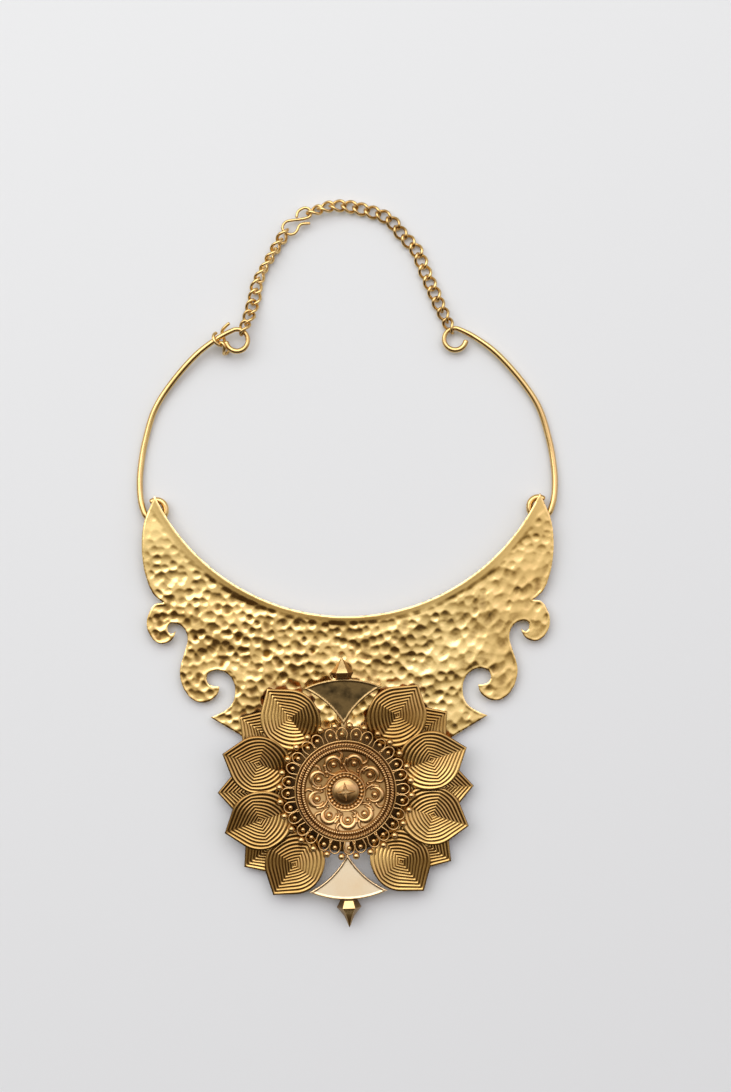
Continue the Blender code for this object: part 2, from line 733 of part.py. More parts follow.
def scroll_relief(x, y):
    """Height of the cast scrolls at a place on the medallion's bowl."""
    angle = math.atan2(y, x) % (2 * math.pi / MEDALLION_SCROLLS)
    middle = math.pi / MEDALLION_SCROLLS
    radius = math.hypot(x, y)
    along = radius * math.cos(angle - middle) - SCROLL_CIRCLE
    across = radius * math.sin(angle - middle)
    distance = math.hypot(along, across)
    bead = SCROLL_BEAD_HEIGHT * max(0.0, 1 - (distance / SCROLL_BEAD_RADIUS) ** 2)
    band = max(0.0, 1 - abs(distance - SCROLL_RIDGE_RADIUS) / SCROLL_BEAD_RADIUS)
    outer_side = min(1.0, max(0.0, 0.7 + along / SCROLL_RIDGE_RADIUS))
    return max(bead, SCROLL_RIDGE_HEIGHT * band * outer_side)


def medallion_mesh():
    """A hollow cast cup turned from its profile, with nine scrolls raised in its bowl."""
    rim = MEDALLION_RADIUS
    bowl = MEDALLION_HEIGHT - 1.1 * MM
    under = bowl - MEDALLION_WALL
    foot = BASE_THICKNESS + CLEARANCE
    relief_start = 8.2 * MM
    relief_end = 14.2 * MM
    relief_radii = [relief_start + (relief_end - relief_start) * step / 5 for step in range(6)]
    profile = [(0, bowl)]
    profile += [(radius, bowl) for radius in relief_radii]
    profile += [
        (15.0 * MM, MEDALLION_HEIGHT - 0.5 * MM),
        (16.1 * MM, MEDALLION_HEIGHT - 0.6 * MM),
        (rim - 0.8 * MM, MEDALLION_HEIGHT + 0.2 * MM),
        (rim, MEDALLION_HEIGHT - 0.2 * MM),
        (rim, MEDALLION_HEIGHT - 0.9 * MM),
        (rim - 0.4 * MM, foot),
        (rim - MEDALLION_WALL - 0.4 * MM, foot),
        (rim - MEDALLION_WALL - 0.4 * MM, under),
        (0, under),
    ]
    mesh = turned("medallion", profile, MEDALLION_SCROLLS * SCROLL_COLUMNS)
    for vertex in mesh.vertices:
        radius = math.hypot(vertex.co.x, vertex.co.y)
        on_bowl = abs(vertex.co.z - bowl) < 0.01 * MM
        if on_bowl and relief_start < radius < relief_end:
            vertex.co.z += scroll_relief(vertex.co.x, vertex.co.y)
    return mesh


def boss_profile():
    """The domed boss with its ring of pearls and its turned rim."""
    foot = MEDALLION_HEIGHT - 1.1 * MM + CLEARANCE
    top = foot + BOSS_HEIGHT
    return [
        (0, top),
        (BOSS_RADIUS * 0.35, top - 0.2 * MM),
        (BOSS_RADIUS * 0.6, top - 1.0 * MM),
        (BOSS_RADIUS * 0.7, top - 1.9 * MM),
        (BOSS_RADIUS * 0.82, top - 1.4 * MM),
        (BOSS_RADIUS * 0.91, top - 1.9 * MM),
        (BOSS_RADIUS, top - 1.8 * MM),
        (BOSS_RADIUS, foot),
        (0, foot),
    ]


def finial_profile():
    """Profile of a six-sided finial, from its tip down to its foot."""
    return [
        (0, FINIAL_LENGTH),
        (FINIAL_BELLY_RADIUS, FINIAL_BELLY_FROM_BASE),
        (FINIAL_BASE_RADIUS, 0),
        (0, 0),
    ]


clear_scene()
necklace = make_collection("bib_necklace")
cutters = make_collection("cutters")
bright_brass = brass("bright_brass", (0.83, 0.62, 0.28), 0.28)
wire_brass = brass("wire_brass", (0.80, 0.60, 0.27), 0.25)
petal_brass = brass("petal_brass", (0.52, 0.36, 0.13), 0.38)
cast_brass = brass("cast_brass", (0.74, 0.52, 0.27), 0.32)
fan_brass = brass("fan_brass", (0.80, 0.64, 0.38), 0.35)

frame = add_empty("necklace_frame", None, (0, FRAME_SHIFT, 0))
seat_tilt = math.atan(PLATE_SLOPE)
flower_seat = add_empty(
    "flower_seat", frame, (FLOWER_SIDE_OFFSET, 0, SEAT_Z), (seat_tilt, 0, FLOWER_TURN)
)

# Hammered plate with its two staples
plate_mesh = mesh_from(bpy.data.objects.new("plate_outline", plate_outline()))
bend_plate(plate_mesh)
plate = add_part("hammered_plate", plate_mesh, frame, bright_brass)
for side_name, side in (("left", -1), ("right", 1)):
    staple_wire = wire_curve(f"staple_{side_name}", staple_points(side), STAPLE_DIAMETER, bevel_steps=1)
    staple_mesh = mesh_from(bpy.data.objects.new(f"staple_{side_name}", staple_wire))
    staple = bpy.data.objects.new(f"staple_{side_name}", staple_mesh)
    cutters.objects.link(staple)
    staple.parent = frame
    staple.hide_render = True
    staple.display_type = "WIRE"
    joining = plate.modifiers.new(f"solder_{side_name}", "BOOLEAN")
    joining.operation = "UNION"
    joining.object = staple

# Curb chain, its hook and the tail at the left eye
link_curve = wire_curve("link", link_points(), LINK_WIRE, cyclic=True, bevel_steps=1)
right_centres = chain_run("right_link", RIGHT_ROUTE, RIGHT_LINKS, link_curve, frame, wire_brass)
left_centres = chain_run("left_link", LEFT_ROUTE, LEFT_LINKS, link_curve, frame, wire_brass)
hook_z = min(right_centres[0].z, left_centres[0].z)
hook_curve = wire_curve(
    "s_hook", [(x * MM, y * MM, hook_z) for x, y in HOOK_ROUTE], HOOK_WIRE, bevel_steps=1
)
add_part("s_hook", hook_curve, frame, wire_brass)

# Neck wires, each with its upper eye at the height of the last link
eye_heights = {}
for side_name, side, centres in (("left", -1, left_centres), ("right", 1, right_centres)):
    climb = centres[-1].z - centres[-2].z
    eye_heights[side_name] = centres[-1].z + EYE_PAST_LAST_LINK * climb
    wire = neck_wire(f"neck_wire_{side_name}", side, eye_heights[side_name])
    add_part(f"neck_wire_{side_name}", wire, frame, wire_brass)

# Spare hook and link left hanging at the left eye
tail_height = WIRE_REST + (eye_heights["left"] - WIRE_REST) * WIRE_RUN[-1][3]
tail_points, tail_hang = tail_hook_points(tail_height)
tail_curve = wire_curve("tail_hook", tail_points, LINK_WIRE, bevel_steps=1)
add_part("tail_hook", tail_curve, frame, wire_brass)
tail_link = add_part("tail_link", link_curve, frame, wire_brass)
tail_lie = Vector(TAIL_LINK_LIE).normalized()
place_link(tail_link, tail_hang + tail_lie * TAIL_LINK_REACH, tail_lie, TAIL_LINK_ROLL)

# Flower base and petals
base_mesh = turned(
    "flower_base", [(0, BASE_THICKNESS), (BASE_RADIUS, BASE_THICKNESS), (BASE_RADIUS, 0), (0, 0)], 40
)
add_part("flower_base", base_mesh, flower_seat, petal_brass)
back_petal_mesh = loft("back_petal", *petal_rings(BACK_PETAL_RIDGES, 0, BACK_PETAL_SHEET))
back_petal_mesh.transform(Matrix.Diagonal((1, BACK_PETAL_WIDTH, 1, 1)))
front_petal_mesh = loft("front_petal", *petal_rings(PETAL_RIDGES, PETAL_DOME, PETAL_SHEET))
for number, angle in enumerate(BACK_PETALS, 1):
    petal = add_part(f"back_petal_{number}", back_petal_mesh, flower_seat, petal_brass)
    turn = math.radians(angle)
    petal.location = (PETAL_RADIUS * math.cos(turn), PETAL_RADIUS * math.sin(turn), BACK_PETAL_Z)
    petal.rotation_euler = (0, 0, turn)
for number, (angle, lift, roll) in enumerate(FRONT_PETALS, 1):
    petal = add_part(f"front_petal_{number}", front_petal_mesh, flower_seat, petal_brass)
    turn = math.radians(angle)
    height = FRONT_PETAL_Z + lift * PETAL_DROP
    petal.location = (PETAL_RADIUS * math.cos(turn), PETAL_RADIUS * math.sin(turn), height)
    petal.rotation_euler = (roll * PETAL_ROLL, 0, turn)

# Fans with their feet, and the finials at their outer edges
foot_mesh = fan_foot("fan_foot")
foot = bpy.data.objects.new("fan_foot", foot_mesh)
cutters.objects.link(foot)
foot.hide_render = True
foot.display_type = "WIRE"
for end_name, turn in (("upper", 0), ("lower", math.pi)):
    fan = add_part(f"fan_{end_name}", fan_mesh(f"fan_{end_name}"), flower_seat, fan_brass)
    fan.location = (0, 0, FAN_Z)
    fan.rotation_euler = (0, 0, turn)
    foot_copy = foot.copy()
    cutters.objects.link(foot_copy)
    foot_copy.parent = flower_seat
    foot_copy.location = fan.location
    foot_copy.rotation_euler = fan.rotation_euler
    joining = fan.modifiers.new("solder", "BOOLEAN")
    joining.operation = "UNION"
    joining.object = foot_copy
bpy.data.objects.remove(foot)

finial_mesh = turned("finial", finial_profile(), FINIAL_SIDES)
finial_flat = FINIAL_BELLY_RADIUS * math.cos(math.pi / FINIAL_SIDES)
upper_z = plate_back(0, FAN_PEAK + FINIAL_LENGTH) + PLATE_THICKNESS + CLEARANCE + finial_flat
for end_name, along, height in (("upper", 1, upper_z), ("lower", -1, finial_flat)):
    finial = add_part(f"finial_{end_name}", finial_mesh, frame, fan_brass, smooth=False)
    x = FLOWER_SIDE_OFFSET - along * FAN_PEAK * math.sin(FLOWER_TURN)
    y = along * (FAN_PEAK + CLEARANCE) - FAN_Z * math.sin(seat_tilt)
    finial.location = (x, y, height)
    finial.rotation_euler = (-along * math.pi / 2, 0, FLOWER_TURN)

# Filigree gallery, medallion and boss
gallery_mesh = flat_curve("filigree_gallery", gallery_outlines(), GALLERY_THICKNESS)
gallery = add_part("filigree_gallery", gallery_mesh, flower_seat, cast_brass)
gallery.location = (0, 0, GALLERY_Z)
add_part("medallion", medallion_mesh(), flower_seat, cast_brass)
add_part("centre_boss", turned("centre_boss", boss_profile(), 24), flower_seat, cast_brass)
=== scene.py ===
import math

import bmesh
import bpy
import numpy as np
from mathutils import Matrix, Vector
from mathutils.geometry import delaunay_2d_cdt
from mathutils.kdtree import KDTree


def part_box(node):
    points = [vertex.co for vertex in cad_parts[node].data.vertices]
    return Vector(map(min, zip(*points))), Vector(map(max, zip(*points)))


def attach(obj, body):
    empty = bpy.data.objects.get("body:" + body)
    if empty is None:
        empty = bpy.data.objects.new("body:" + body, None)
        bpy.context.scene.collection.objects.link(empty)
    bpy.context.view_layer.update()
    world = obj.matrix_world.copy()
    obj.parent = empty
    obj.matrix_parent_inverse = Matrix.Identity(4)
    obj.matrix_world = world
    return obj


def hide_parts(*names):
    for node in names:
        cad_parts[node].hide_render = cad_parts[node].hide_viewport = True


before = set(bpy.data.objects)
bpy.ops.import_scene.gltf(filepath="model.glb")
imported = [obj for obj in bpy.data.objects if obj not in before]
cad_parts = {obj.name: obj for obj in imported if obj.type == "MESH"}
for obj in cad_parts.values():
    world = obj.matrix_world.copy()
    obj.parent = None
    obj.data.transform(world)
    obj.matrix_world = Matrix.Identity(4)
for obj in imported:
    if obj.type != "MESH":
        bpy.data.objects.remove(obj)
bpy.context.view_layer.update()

# The crescent plate: one sheet of brass, sawn to its scrolled outline and rolled slightly. Its face
# is covered with the dents of a round-faced hammer, up to a burnished band along the neck. The left
# horn and a stretch of the right side are painted brighter, as painted highlights, and the dents
# darker, as painted shade with some tarnish.
mm = 0.001
plate_thickness = 1.0 * mm
dent_pitch = 3.55 * mm
dent_row = 0.86 * dent_pitch
dent_columns = 22
dent_radius = 2.1 * mm
dent_depth = 0.36 * mm
burnished_band = 1.7 * mm
band_fade = 1.4 * mm
neck_lip = 0.3 * mm
neck_lip_width = 5 * mm
edge_rounding = 0.25 * mm
edge_rounding_width = 0.55 * mm
sheet_waves = 0.17 * mm
highlight_middle = 33 * mm
highlight_width = 17 * mm
face_grain = 0.45 * mm
back_grain = 6 * mm
chance = np.random.default_rng(11)


def stretched(tree, value, from_low, from_high, to_low=0.0, to_high=1.0, smooth=False):
    """A number of a finish or of the room's light, stretched from one range to another."""
    stretch = tree.nodes.new("ShaderNodeMapRange")
    stretch.interpolation_type = "SMOOTHSTEP" if smooth else "LINEAR"
    ends = {"From Min": from_low, "From Max": from_high, "To Min": to_low, "To Max": to_high}
    for end, number in ends.items():
        stretch.inputs[end].default_value = number
    tree.links.new(value, stretch.inputs["Value"])
    return stretch.outputs["Result"]


def mixed(tree, share, first, second, blend="MIX"):
    """Mixes two colours, each of them plain or one that the finish works out."""
    mix = tree.nodes.new("ShaderNodeMix")
    mix.data_type = "RGBA"
    mix.blend_type = blend
    tree.links.new(share, mix.inputs["Factor"])
    for side, colour in (("A", first), ("B", second)):
        if isinstance(colour, tuple):
            mix.inputs[side].default_value = (*colour, 1)
        else:
            tree.links.new(colour, mix.inputs[side])
    return mix.outputs["Result"]


def noise(tree, scale, detail):
    """Soft patches of one size that are fixed to the piece."""
    place = tree.nodes.new("ShaderNodeTexCoord")
    cloud = tree.nodes.new("ShaderNodeTexNoise")
    cloud.inputs["Scale"].default_value = scale
    cloud.inputs["Detail"].default_value = detail
    tree.links.new(place.outputs["Object"], cloud.inputs["Vector"])
    return cloud.outputs["Fac"]


def stored(tree, name):
    """A number that the mesh holds for each of its points."""
    holder = tree.nodes.new("ShaderNodeAttribute")
    holder.attribute_name = name
    return holder.outputs["Fac"]


def brass(name, bright, dark, roughness, relief=False, patches=0.35, grain=0.02, clouds=45.0):
    """Polished brass, browner in soft patches and, with relief, painted darker where it is low or in shade.
    """
    metal = bpy.data.materials.new(name)
    metal.use_nodes = True
    tree = metal.node_tree
    shader = tree.nodes["Principled BSDF"]
    shader.inputs["Metallic"].default_value = 1.0
    cloud = noise(tree, clouds, 6.0)
    colour = mixed(tree, stretched(tree, cloud, 0.42, 0.72, 0.0, patches), bright, dark)
    if relief:
        # Painted shade: where the mesh's height numbers are low, the brass is painted this dark brown.
        painted_hollow_shade = (0.42 * dark[0], 0.32 * dark[1], 0.2 * dark[2])
        raised = stretched(tree, stored(tree, "height"), 0.05, 0.6, smooth=True)
        colour = mixed(tree, raised, painted_hollow_shade, colour)
    tree.links.new(colour, shader.inputs["Base Color"])
    wear = stretched(tree, cloud, 0.0, 1.0, roughness - 0.06, roughness + 0.1)
    tree.links.new(wear, shader.inputs["Roughness"])
    bump = tree.nodes.new("ShaderNodeBump")
    bump.inputs["Strength"].default_value = 0.5
    bump.inputs["Distance"].default_value = grain * mm
    tree.links.new(noise(tree, 900.0, 3.0), bump.inputs["Height"])
    tree.links.new(bump.outputs["Normal"], shader.inputs["Normal"])
    return metal


def placed(name, data):
    """Brings a thing into the scene."""
    thing = bpy.data.objects.new(name, data)
    bpy.context.scene.collection.objects.link(thing)
    return thing


def put(name, data, metal, slot, *nodes):
    """Adds a piece that lies with the rest, in its finish, in place of the frame's solids."""
    if not data.materials:
        data.materials.append(metal)
    piece = placed(f"{name}_detail", data)
    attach(piece, "root")
    if nodes:
        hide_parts(*nodes)


def shaped(name, points, faces, height=None):
    """A smooth mesh, with a number for each point that sets its painted shade: low numbers are painted dark.
    """
    mesh = bpy.data.meshes.new(name)
    mesh.from_pydata([tuple(point) for point in points], [], faces)
    shape = bmesh.new()
    shape.from_mesh(mesh)
    bmesh.ops.recalc_face_normals(shape, faces=shape.faces)
    shape.to_mesh(mesh)
    shape.free()
    mesh.shade_smooth()
    if height is not None:
        # The height numbers set painted light and shade: the brass paints low numbers dark.
        mesh.attributes.new("height", "FLOAT", "POINT").data.foreach_set("value", np.asarray(height, float))
    return mesh


def sawn_edge(node):
    """The outline of the plate's face, in order, as points of the frame's plate."""
    shell = bmesh.new()
    shell.from_mesh(node.data)
    bmesh.ops.remove_doubles(shell, verts=shell.verts, dist=0.002 * mm)
    shell.normal_update()
    beside = {}
    for edge in shell.edges:
        tilts = [face.normal.z for face in edge.link_faces]
        if len(tilts) == 2 and max(tilts) > 0.9 and min(abs(tilt) for tilt in tilts) < 0.1:
            for start, end in (edge.verts, reversed(edge.verts)):
                beside.setdefault(start, []).append(end)
    start = max(beside, key=lambda vertex: vertex.co.y)
    loop = [start, beside[start][0]]
    while loop[-1] != start:
        ahead = [vertex for vertex in beside[loop[-1]] if vertex != loop[-2]]
        loop.append(ahead[0])
    points = np.array([tuple(vertex.co) for vertex in loop[:-1]])
    shell.free()
    return points


def between(before, start, end, after, t):
    """A place on the smooth curve from start to end that the points on either side call for."""
    bend = (end - before) * t + (2 * before - 5 * start + 4 * end - after) * t * t
    return start + 0.5 * (bend + (3 * start - before - 3 * end + after) * t**3)


def rounded_outline(points, spacing):
    """Draws a smooth line through an outline's points and keeps its sharp corners."""
    count = len(points)
    leaving = np.roll(points, -1, 0) - points
    leaving /= np.linalg.norm(leaving, axis=1)[:, None]
    turning = np.einsum("ij,ij->i", leaving, np.roll(leaving, 1, 0))
    corner = turning < math.cos(math.radians(55))
    line = []
    for index in range(count):
        start = points[index]
        end = points[(index + 1) % count]
        before = 2 * start - end if corner[index] else points[index - 1]
        after = 2 * end - start if corner[(index + 1) % count] else points[(index + 2) % count]
        cuts = max(1, round(np.linalg.norm(end - start) / spacing))
        line += [between(before, start, end, after, cut / cuts) for cut in range(cuts)]
    return np.array(line)


def within(places, outline):
    """Which of some places lie inside an outline."""
    inside = np.zeros(len(places), bool)
    for start, end in zip(outline, np.roll(outline, -1, 0)):
        if start[1] != end[1]:
            spans = (start[1] > places[:, 1]) != (end[1] > places[:, 1])
            crossing = start[0] + (places[:, 1] - start[1]) * (end[0] - start[0]) / (end[1] - start[1])
            inside ^= spans & (places[:, 0] < crossing)
    return inside


def finder(places):
    """Finds which of some places on a sheet is nearest."""
    tree = KDTree(len(places))
    for index, (x, y) in enumerate(places):
        tree.insert((x, y, 0), index)
    tree.balance()
    return tree


def filled(outline, spacing):
    """Fills an outline with triangles of about one size: points and faces, outline first."""
    low = outline.min(0)
    high = outline.max(0)
    step = spacing * math.sqrt(0.75)
    grid = []
    for row in range(int((high[1] - low[1]) / step) + 1):
        across = np.arange(low[0] + (row % 2) * spacing / 2, high[0], spacing)
        grid.append(np.column_stack([across, np.full(len(across), low[1] + row * step)]))
    grid = np.concatenate(grid)
    grid = grid[within(grid, outline)]
    border = finder(outline)
    clear = [border.find((x, y, 0))[2] > 0.45 * min(spacing, 1.5 * mm) for x, y in grid]
    grid = grid[clear]
    places = [Vector(point) for point in outline] + [Vector(point) for point in grid]
    result = delaunay_2d_cdt(places, [], [list(range(len(outline)))], 0, 1e-9, False)
    points = np.array([tuple(place) for place in result[0]])
    faces = np.array([tuple(face) for face in result[2]])
    faces = faces[within(points[faces].mean(1), outline)]
    return points, [tuple(face) for face in faces.tolist()]


def sheet_faces(face, back, count, edge):
    """A sheet's faces from those of its front and back, with its cut edge between them."""
    faces = face + [tuple(count + corner for corner in reversed(corners)) for corners in back]
    for index in range(edge):
        following = (index + 1) % edge
        faces.append((index, count + index, count + following, following))
    return faces


edge_points = sawn_edge(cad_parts["hammered_plate"])
terms = np.column_stack([np.ones(len(edge_points)), edge_points[:, 1], edge_points[:, 0] ** 2])
rolled = np.linalg.lstsq(terms, edge_points[:, 2], rcond=None)[0]


def face_height(x, y):
    """Height of the rolled sheet's face before it is hammered."""
    return rolled[0] + rolled[1] * y + rolled[2] * x * x


tip_x, tip_y = edge_points[edge_points[:, 1].argmax()][:2]
tip_x = abs(tip_x)
middle = edge_points[np.abs(edge_points[:, 0]) < 0.5 * mm]
neck_low = middle[:, 1].max()
neck_depth = tip_y - neck_low
neck_radius = (tip_x**2 + neck_depth**2) / (2 * neck_depth)
neck_centre = neck_low + neck_radius

dents = []
bottom = edge_points[:, 1].min()
for row in range(int((tip_y - bottom) / dent_row) + 2):
    for column in range(-dent_columns, dent_columns + 1):
        x, y = chance.normal(0, 0.2 * dent_pitch, 2)
        x += (column + 0.5 * (row % 2)) * dent_pitch
        y += bottom + row * dent_row
        sideways = max(0.0, min(1.0, (x - 25 * mm) / (30 * mm)))
        towards_tip = max(0.0, min(1.0, (y - tip_y + 34 * mm) / (20 * mm)))
        radius = dent_radius * chance.uniform(0.75, 1.2) * (1 - 0.15 * towards_tip)
        softer = 1 - 0.18 * sideways - (0.7 if x < 0 else 0.35) * towards_tip
        depth = dent_depth * chance.uniform(0.6, 1.15) * softer
        dents.append((x, y, radius, 1 + 0.45 * sideways * (1 - towards_tip), depth))
struck = finder([dent[:2] for dent in dents])


def hammered(x, y):
    """How deep the hammer has gone at a place, from the nearest blows."""
    deepest = 0.0
    added = 0.0
    for place, index, distance in struck.find_n((x, y, 0), 5):
        centre_x, centre_y, radius, stretch, depth = dents[index]
        along = (x - centre_x) * 0.5 + (y - centre_y) * 0.87
        across = (x - centre_x) * 0.87 - (y - centre_y) * 0.5
        inside = 1 - ((along / stretch) ** 2 + across**2) / radius**2
        if inside > 0:
            blow = depth * inside
            deepest = max(deepest, blow)
            added += blow
    return 0.7 * deepest + 0.3 * added


def uneven(x, y):
    """The slow waves that hammering leaves in a sheet."""
    waves = math.sin(x / (6.1 * mm) + 2.2 * math.sin(y / (11 * mm)))
    waves += math.sin(y / (3.6 * mm) + 1.7 * math.sin(x / (8.7 * mm)) + 0.6)
    return sheet_waves * waves


outline = rounded_outline(edge_points[:, :2], face_grain)
face_points, face_faces = filled(outline, face_grain)
border = finder(outline)
plate_points = []
plate_relief_shade = []
plate_highlight = []
for x, y in face_points:
    from_neck = math.hypot(x, y - neck_centre) - neck_radius
    from_edge = border.find((x, y, 0))[2]
    left_horn = max(0.0, min(1.0, (y - tip_y + 42 * mm) / (18 * mm))) * (x < 0)
    beyond_band = from_neck - burnished_band * (1 + 0.6 * abs(x) / tip_x)
    band = min(1.0, max(0.0, beyond_band / band_fade))
    edge = min(1.0, from_edge / (0.9 * mm + 3 * mm * left_horn))
    depth = hammered(x, y) * band * edge
    lip = neck_lip * max(0.0, 1 - from_neck / neck_lip_width) ** 2
    rounding = edge_rounding * (1 - min(1.0, from_edge / edge_rounding_width)) ** 2
    waves = uneven(x, y) * min(1.0, from_edge / (4 * mm)) * min(1.0, 0.3 + band)
    plate_points.append((x, y, face_height(x, y) - depth - rounding + waves + lip))
    # Painted shade with some tarnish: the deeper the dent, the darker its brass is painted.
    plate_relief_shade.append(1 - depth / (0.5 * mm))
    # A painted highlight: the left horn and a stretch of the right side get a brighter brass.
    right_side = math.exp(-(((x - highlight_middle) / highlight_width) ** 2))
    plate_highlight.append(max(0.9 * left_horn, 0.85 * right_side))
back_points, back_faces = filled(outline, back_grain)
for x, y in back_points:
    plate_points.append((x, y, face_height(x, y) - plate_thickness))
    plate_relief_shade.append(0.6)
    plate_highlight.append(0.0)
plate_faces = sheet_faces(face_faces, back_faces, len(face_points), len(outline))
plate_mesh = shaped("hammered_plate", plate_points, plate_faces, plate_relief_shade)
plate_mesh.set_sharp_from_angle(angle=math.radians(50))
plate_mesh.attributes.new("painted_highlight", "FLOAT", "POINT").data.foreach_set("value", plate_highlight)
highlight_colour = (1.0, 0.75, 0.32)
hammered_brass = brass("hammered_brass", (0.97, 0.69, 0.28), (0.62, 0.39, 0.11), 0.18, relief=True)
tree = hammered_brass.node_tree
base_colour = tree.nodes["Principled BSDF"].inputs["Base Color"]
# Paints the highlight patches in the brighter brass.
highlighted_colour = mixed(tree, stored(tree, "painted_highlight"), base_colour.links[0].from_socket, highlight_colour)
tree.links.new(highlighted_colour, base_colour)
put("crescent_plate", plate_mesh, hammered_brass, "bright_brass", "hammered_plate")

# The neck wires: two lengths of thick round brass wire, bowed to rest on the shoulders. The lower
# end of each is turned into an eye behind the horn, loose in its staple, and the upper end, which
# is drawn thinner, into an open eye for the chain.
wire_thickness = 2.3 * mm
thinned_end = 0.74
eye_radius = 4.0 * mm
horn_eye = (69.81 * mm, 102.9 * mm)
horn_eye_radii = (4.75 * mm, 3.2 * mm)
horn_eye_start = math.radians(-24)
horn_eye_turn = math.radians(281)
horn_eye_closing = math.radians(156)
upper_eye = (39.91 * mm, 164.3 * mm)
upper_eye_start = math.radians(80)
upper_eye_turn = math.radians(268)
eye_steps = 60
wire_rise = upper_eye[1] - horn_eye[1]
# Columns: across as a share of the horn eye's distance from the middle, up as a share of the rise,
# and the shares of the horn eye's and of the upper eye's height over the table.
wire_bow = [
    (1.083, 0.046, 0.75, 0.0),
    (1.090, 0.153, 0.35, 0.0),
    (1.083, 0.262, 0.10, 0.0),
    (1.063, 0.392, 0.00, 0.0),
    (1.013, 0.581, 0.00, 0.1),
    (0.926, 0.739, 0.00, 0.3),
    (0.795, 0.907, 0.00, 0.65),
    (0.676, 1.010, 0.00, 0.9),
]
wire_brass = brass("wire_brass", (0.80, 0.56, 0.23), (0.42, 0.25, 0.08), 0.2, patches=0.7)


def solid_points(node):
    """The corners of one of the frame's solids."""
    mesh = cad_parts[node].data
    places = np.empty(3 * len(mesh.vertices))
    mesh.vertices.foreach_get("co", places)
    return places.reshape(-1, 3)


def skin(rings, loop=False):
    """Points and faces over a row of rings of points, capped unless the row closes on itself."""
    rows, steps = rings.shape[:2]
    faces = []
    for row in range(rows if loop else rows - 1):
        start = row * steps
        ahead = (row + 1) % rows * steps
        for step in range(steps):
            beside = (step + 1) % steps
            faces.append((start + step, start + beside, ahead + beside, ahead + step))
    if not loop:
        faces.append(tuple(reversed(range(steps))))
        faces.append(tuple(range(rows * steps - steps, rows * steps)))
    return rings.reshape(-1, 3), faces


def smooth_route(points, cuts):
    """A smooth curve through points, each stretch of it cut into equal parts."""
    points = np.asarray(points, float)
    padded = np.vstack([2 * points[0] - points[1], points, 2 * points[-1] - points[-2]])
    route = []
    for before, start, end, after in zip(padded, padded[1:], padded[2:], padded[3:]):
        route += [between(before, start, end, after, cut / cuts) for cut in range(cuts)]
    return np.array(route + [points[-1]])


def once_round(steps):
    """Angles in equal steps once round."""
    return 2 * np.pi * np.arange(steps) / steps


def round_wire(route, radii, sides=16, loop=False):
    """A round wire along a route; its cut ends are filed round unless it is a loop."""
    route = np.asarray(route, float)
    radii = np.broadcast_to(radii, len(route)).astype(float)
    ahead = np.roll(route, -1, 0) - np.roll(route, 1, 0) if loop else np.gradient(route, axis=0)
    ahead /= np.linalg.norm(ahead, axis=1)[:, None]
    if not loop:
        lean = np.radians([80, 60, 40, 20])
        before = route[0] - ahead[0] * (radii[0] * np.sin(lean))[:, None] * 0.6
        after = route[-1] + ahead[-1] * (radii[-1] * np.sin(lean[::-1]))[:, None] * 0.6
        route = np.vstack([before, route, after])
        radii = np.concatenate([radii[0] * np.cos(lean), radii, radii[-1] * np.cos(lean[::-1])])
        ahead = np.vstack([np.repeat(ahead[:1], 4, 0), ahead, np.repeat(ahead[-1:], 4, 0)])
    side = np.cross(ahead[0], (0.31, 0.22, 0.93))
    spokes = []
    for forward in np.vstack([ahead, ahead[:1]]):
        side = side - forward * (side @ forward)
        side /= np.linalg.norm(side)
        spokes.append(side)
    slip = 0.0
    if loop:
        slip = math.atan2(np.cross(spokes[0], spokes[-1]) @ ahead[0], spokes[0] @ spokes[-1])
    rings = []
    turn = once_round(sides)
    for index, (place, forward, radius) in enumerate(zip(route, ahead, radii)):
        angle = (turn - slip * index / len(route))[:, None]
        other = np.cross(forward, spokes[index])
        rings.append(place + radius * (np.cos(angle) * spokes[index] + np.sin(angle) * other))
    return skin(np.array(rings), loop)


def joined(pieces):
    """One lot of points and faces from several."""
    points = []
    faces = []
    count = 0
    for some_points, some_faces in pieces:
        points.append(some_points)
        faces += [tuple(count + corner for corner in face) for face in some_faces]
        count += len(some_points)
    return np.concatenate(points), faces


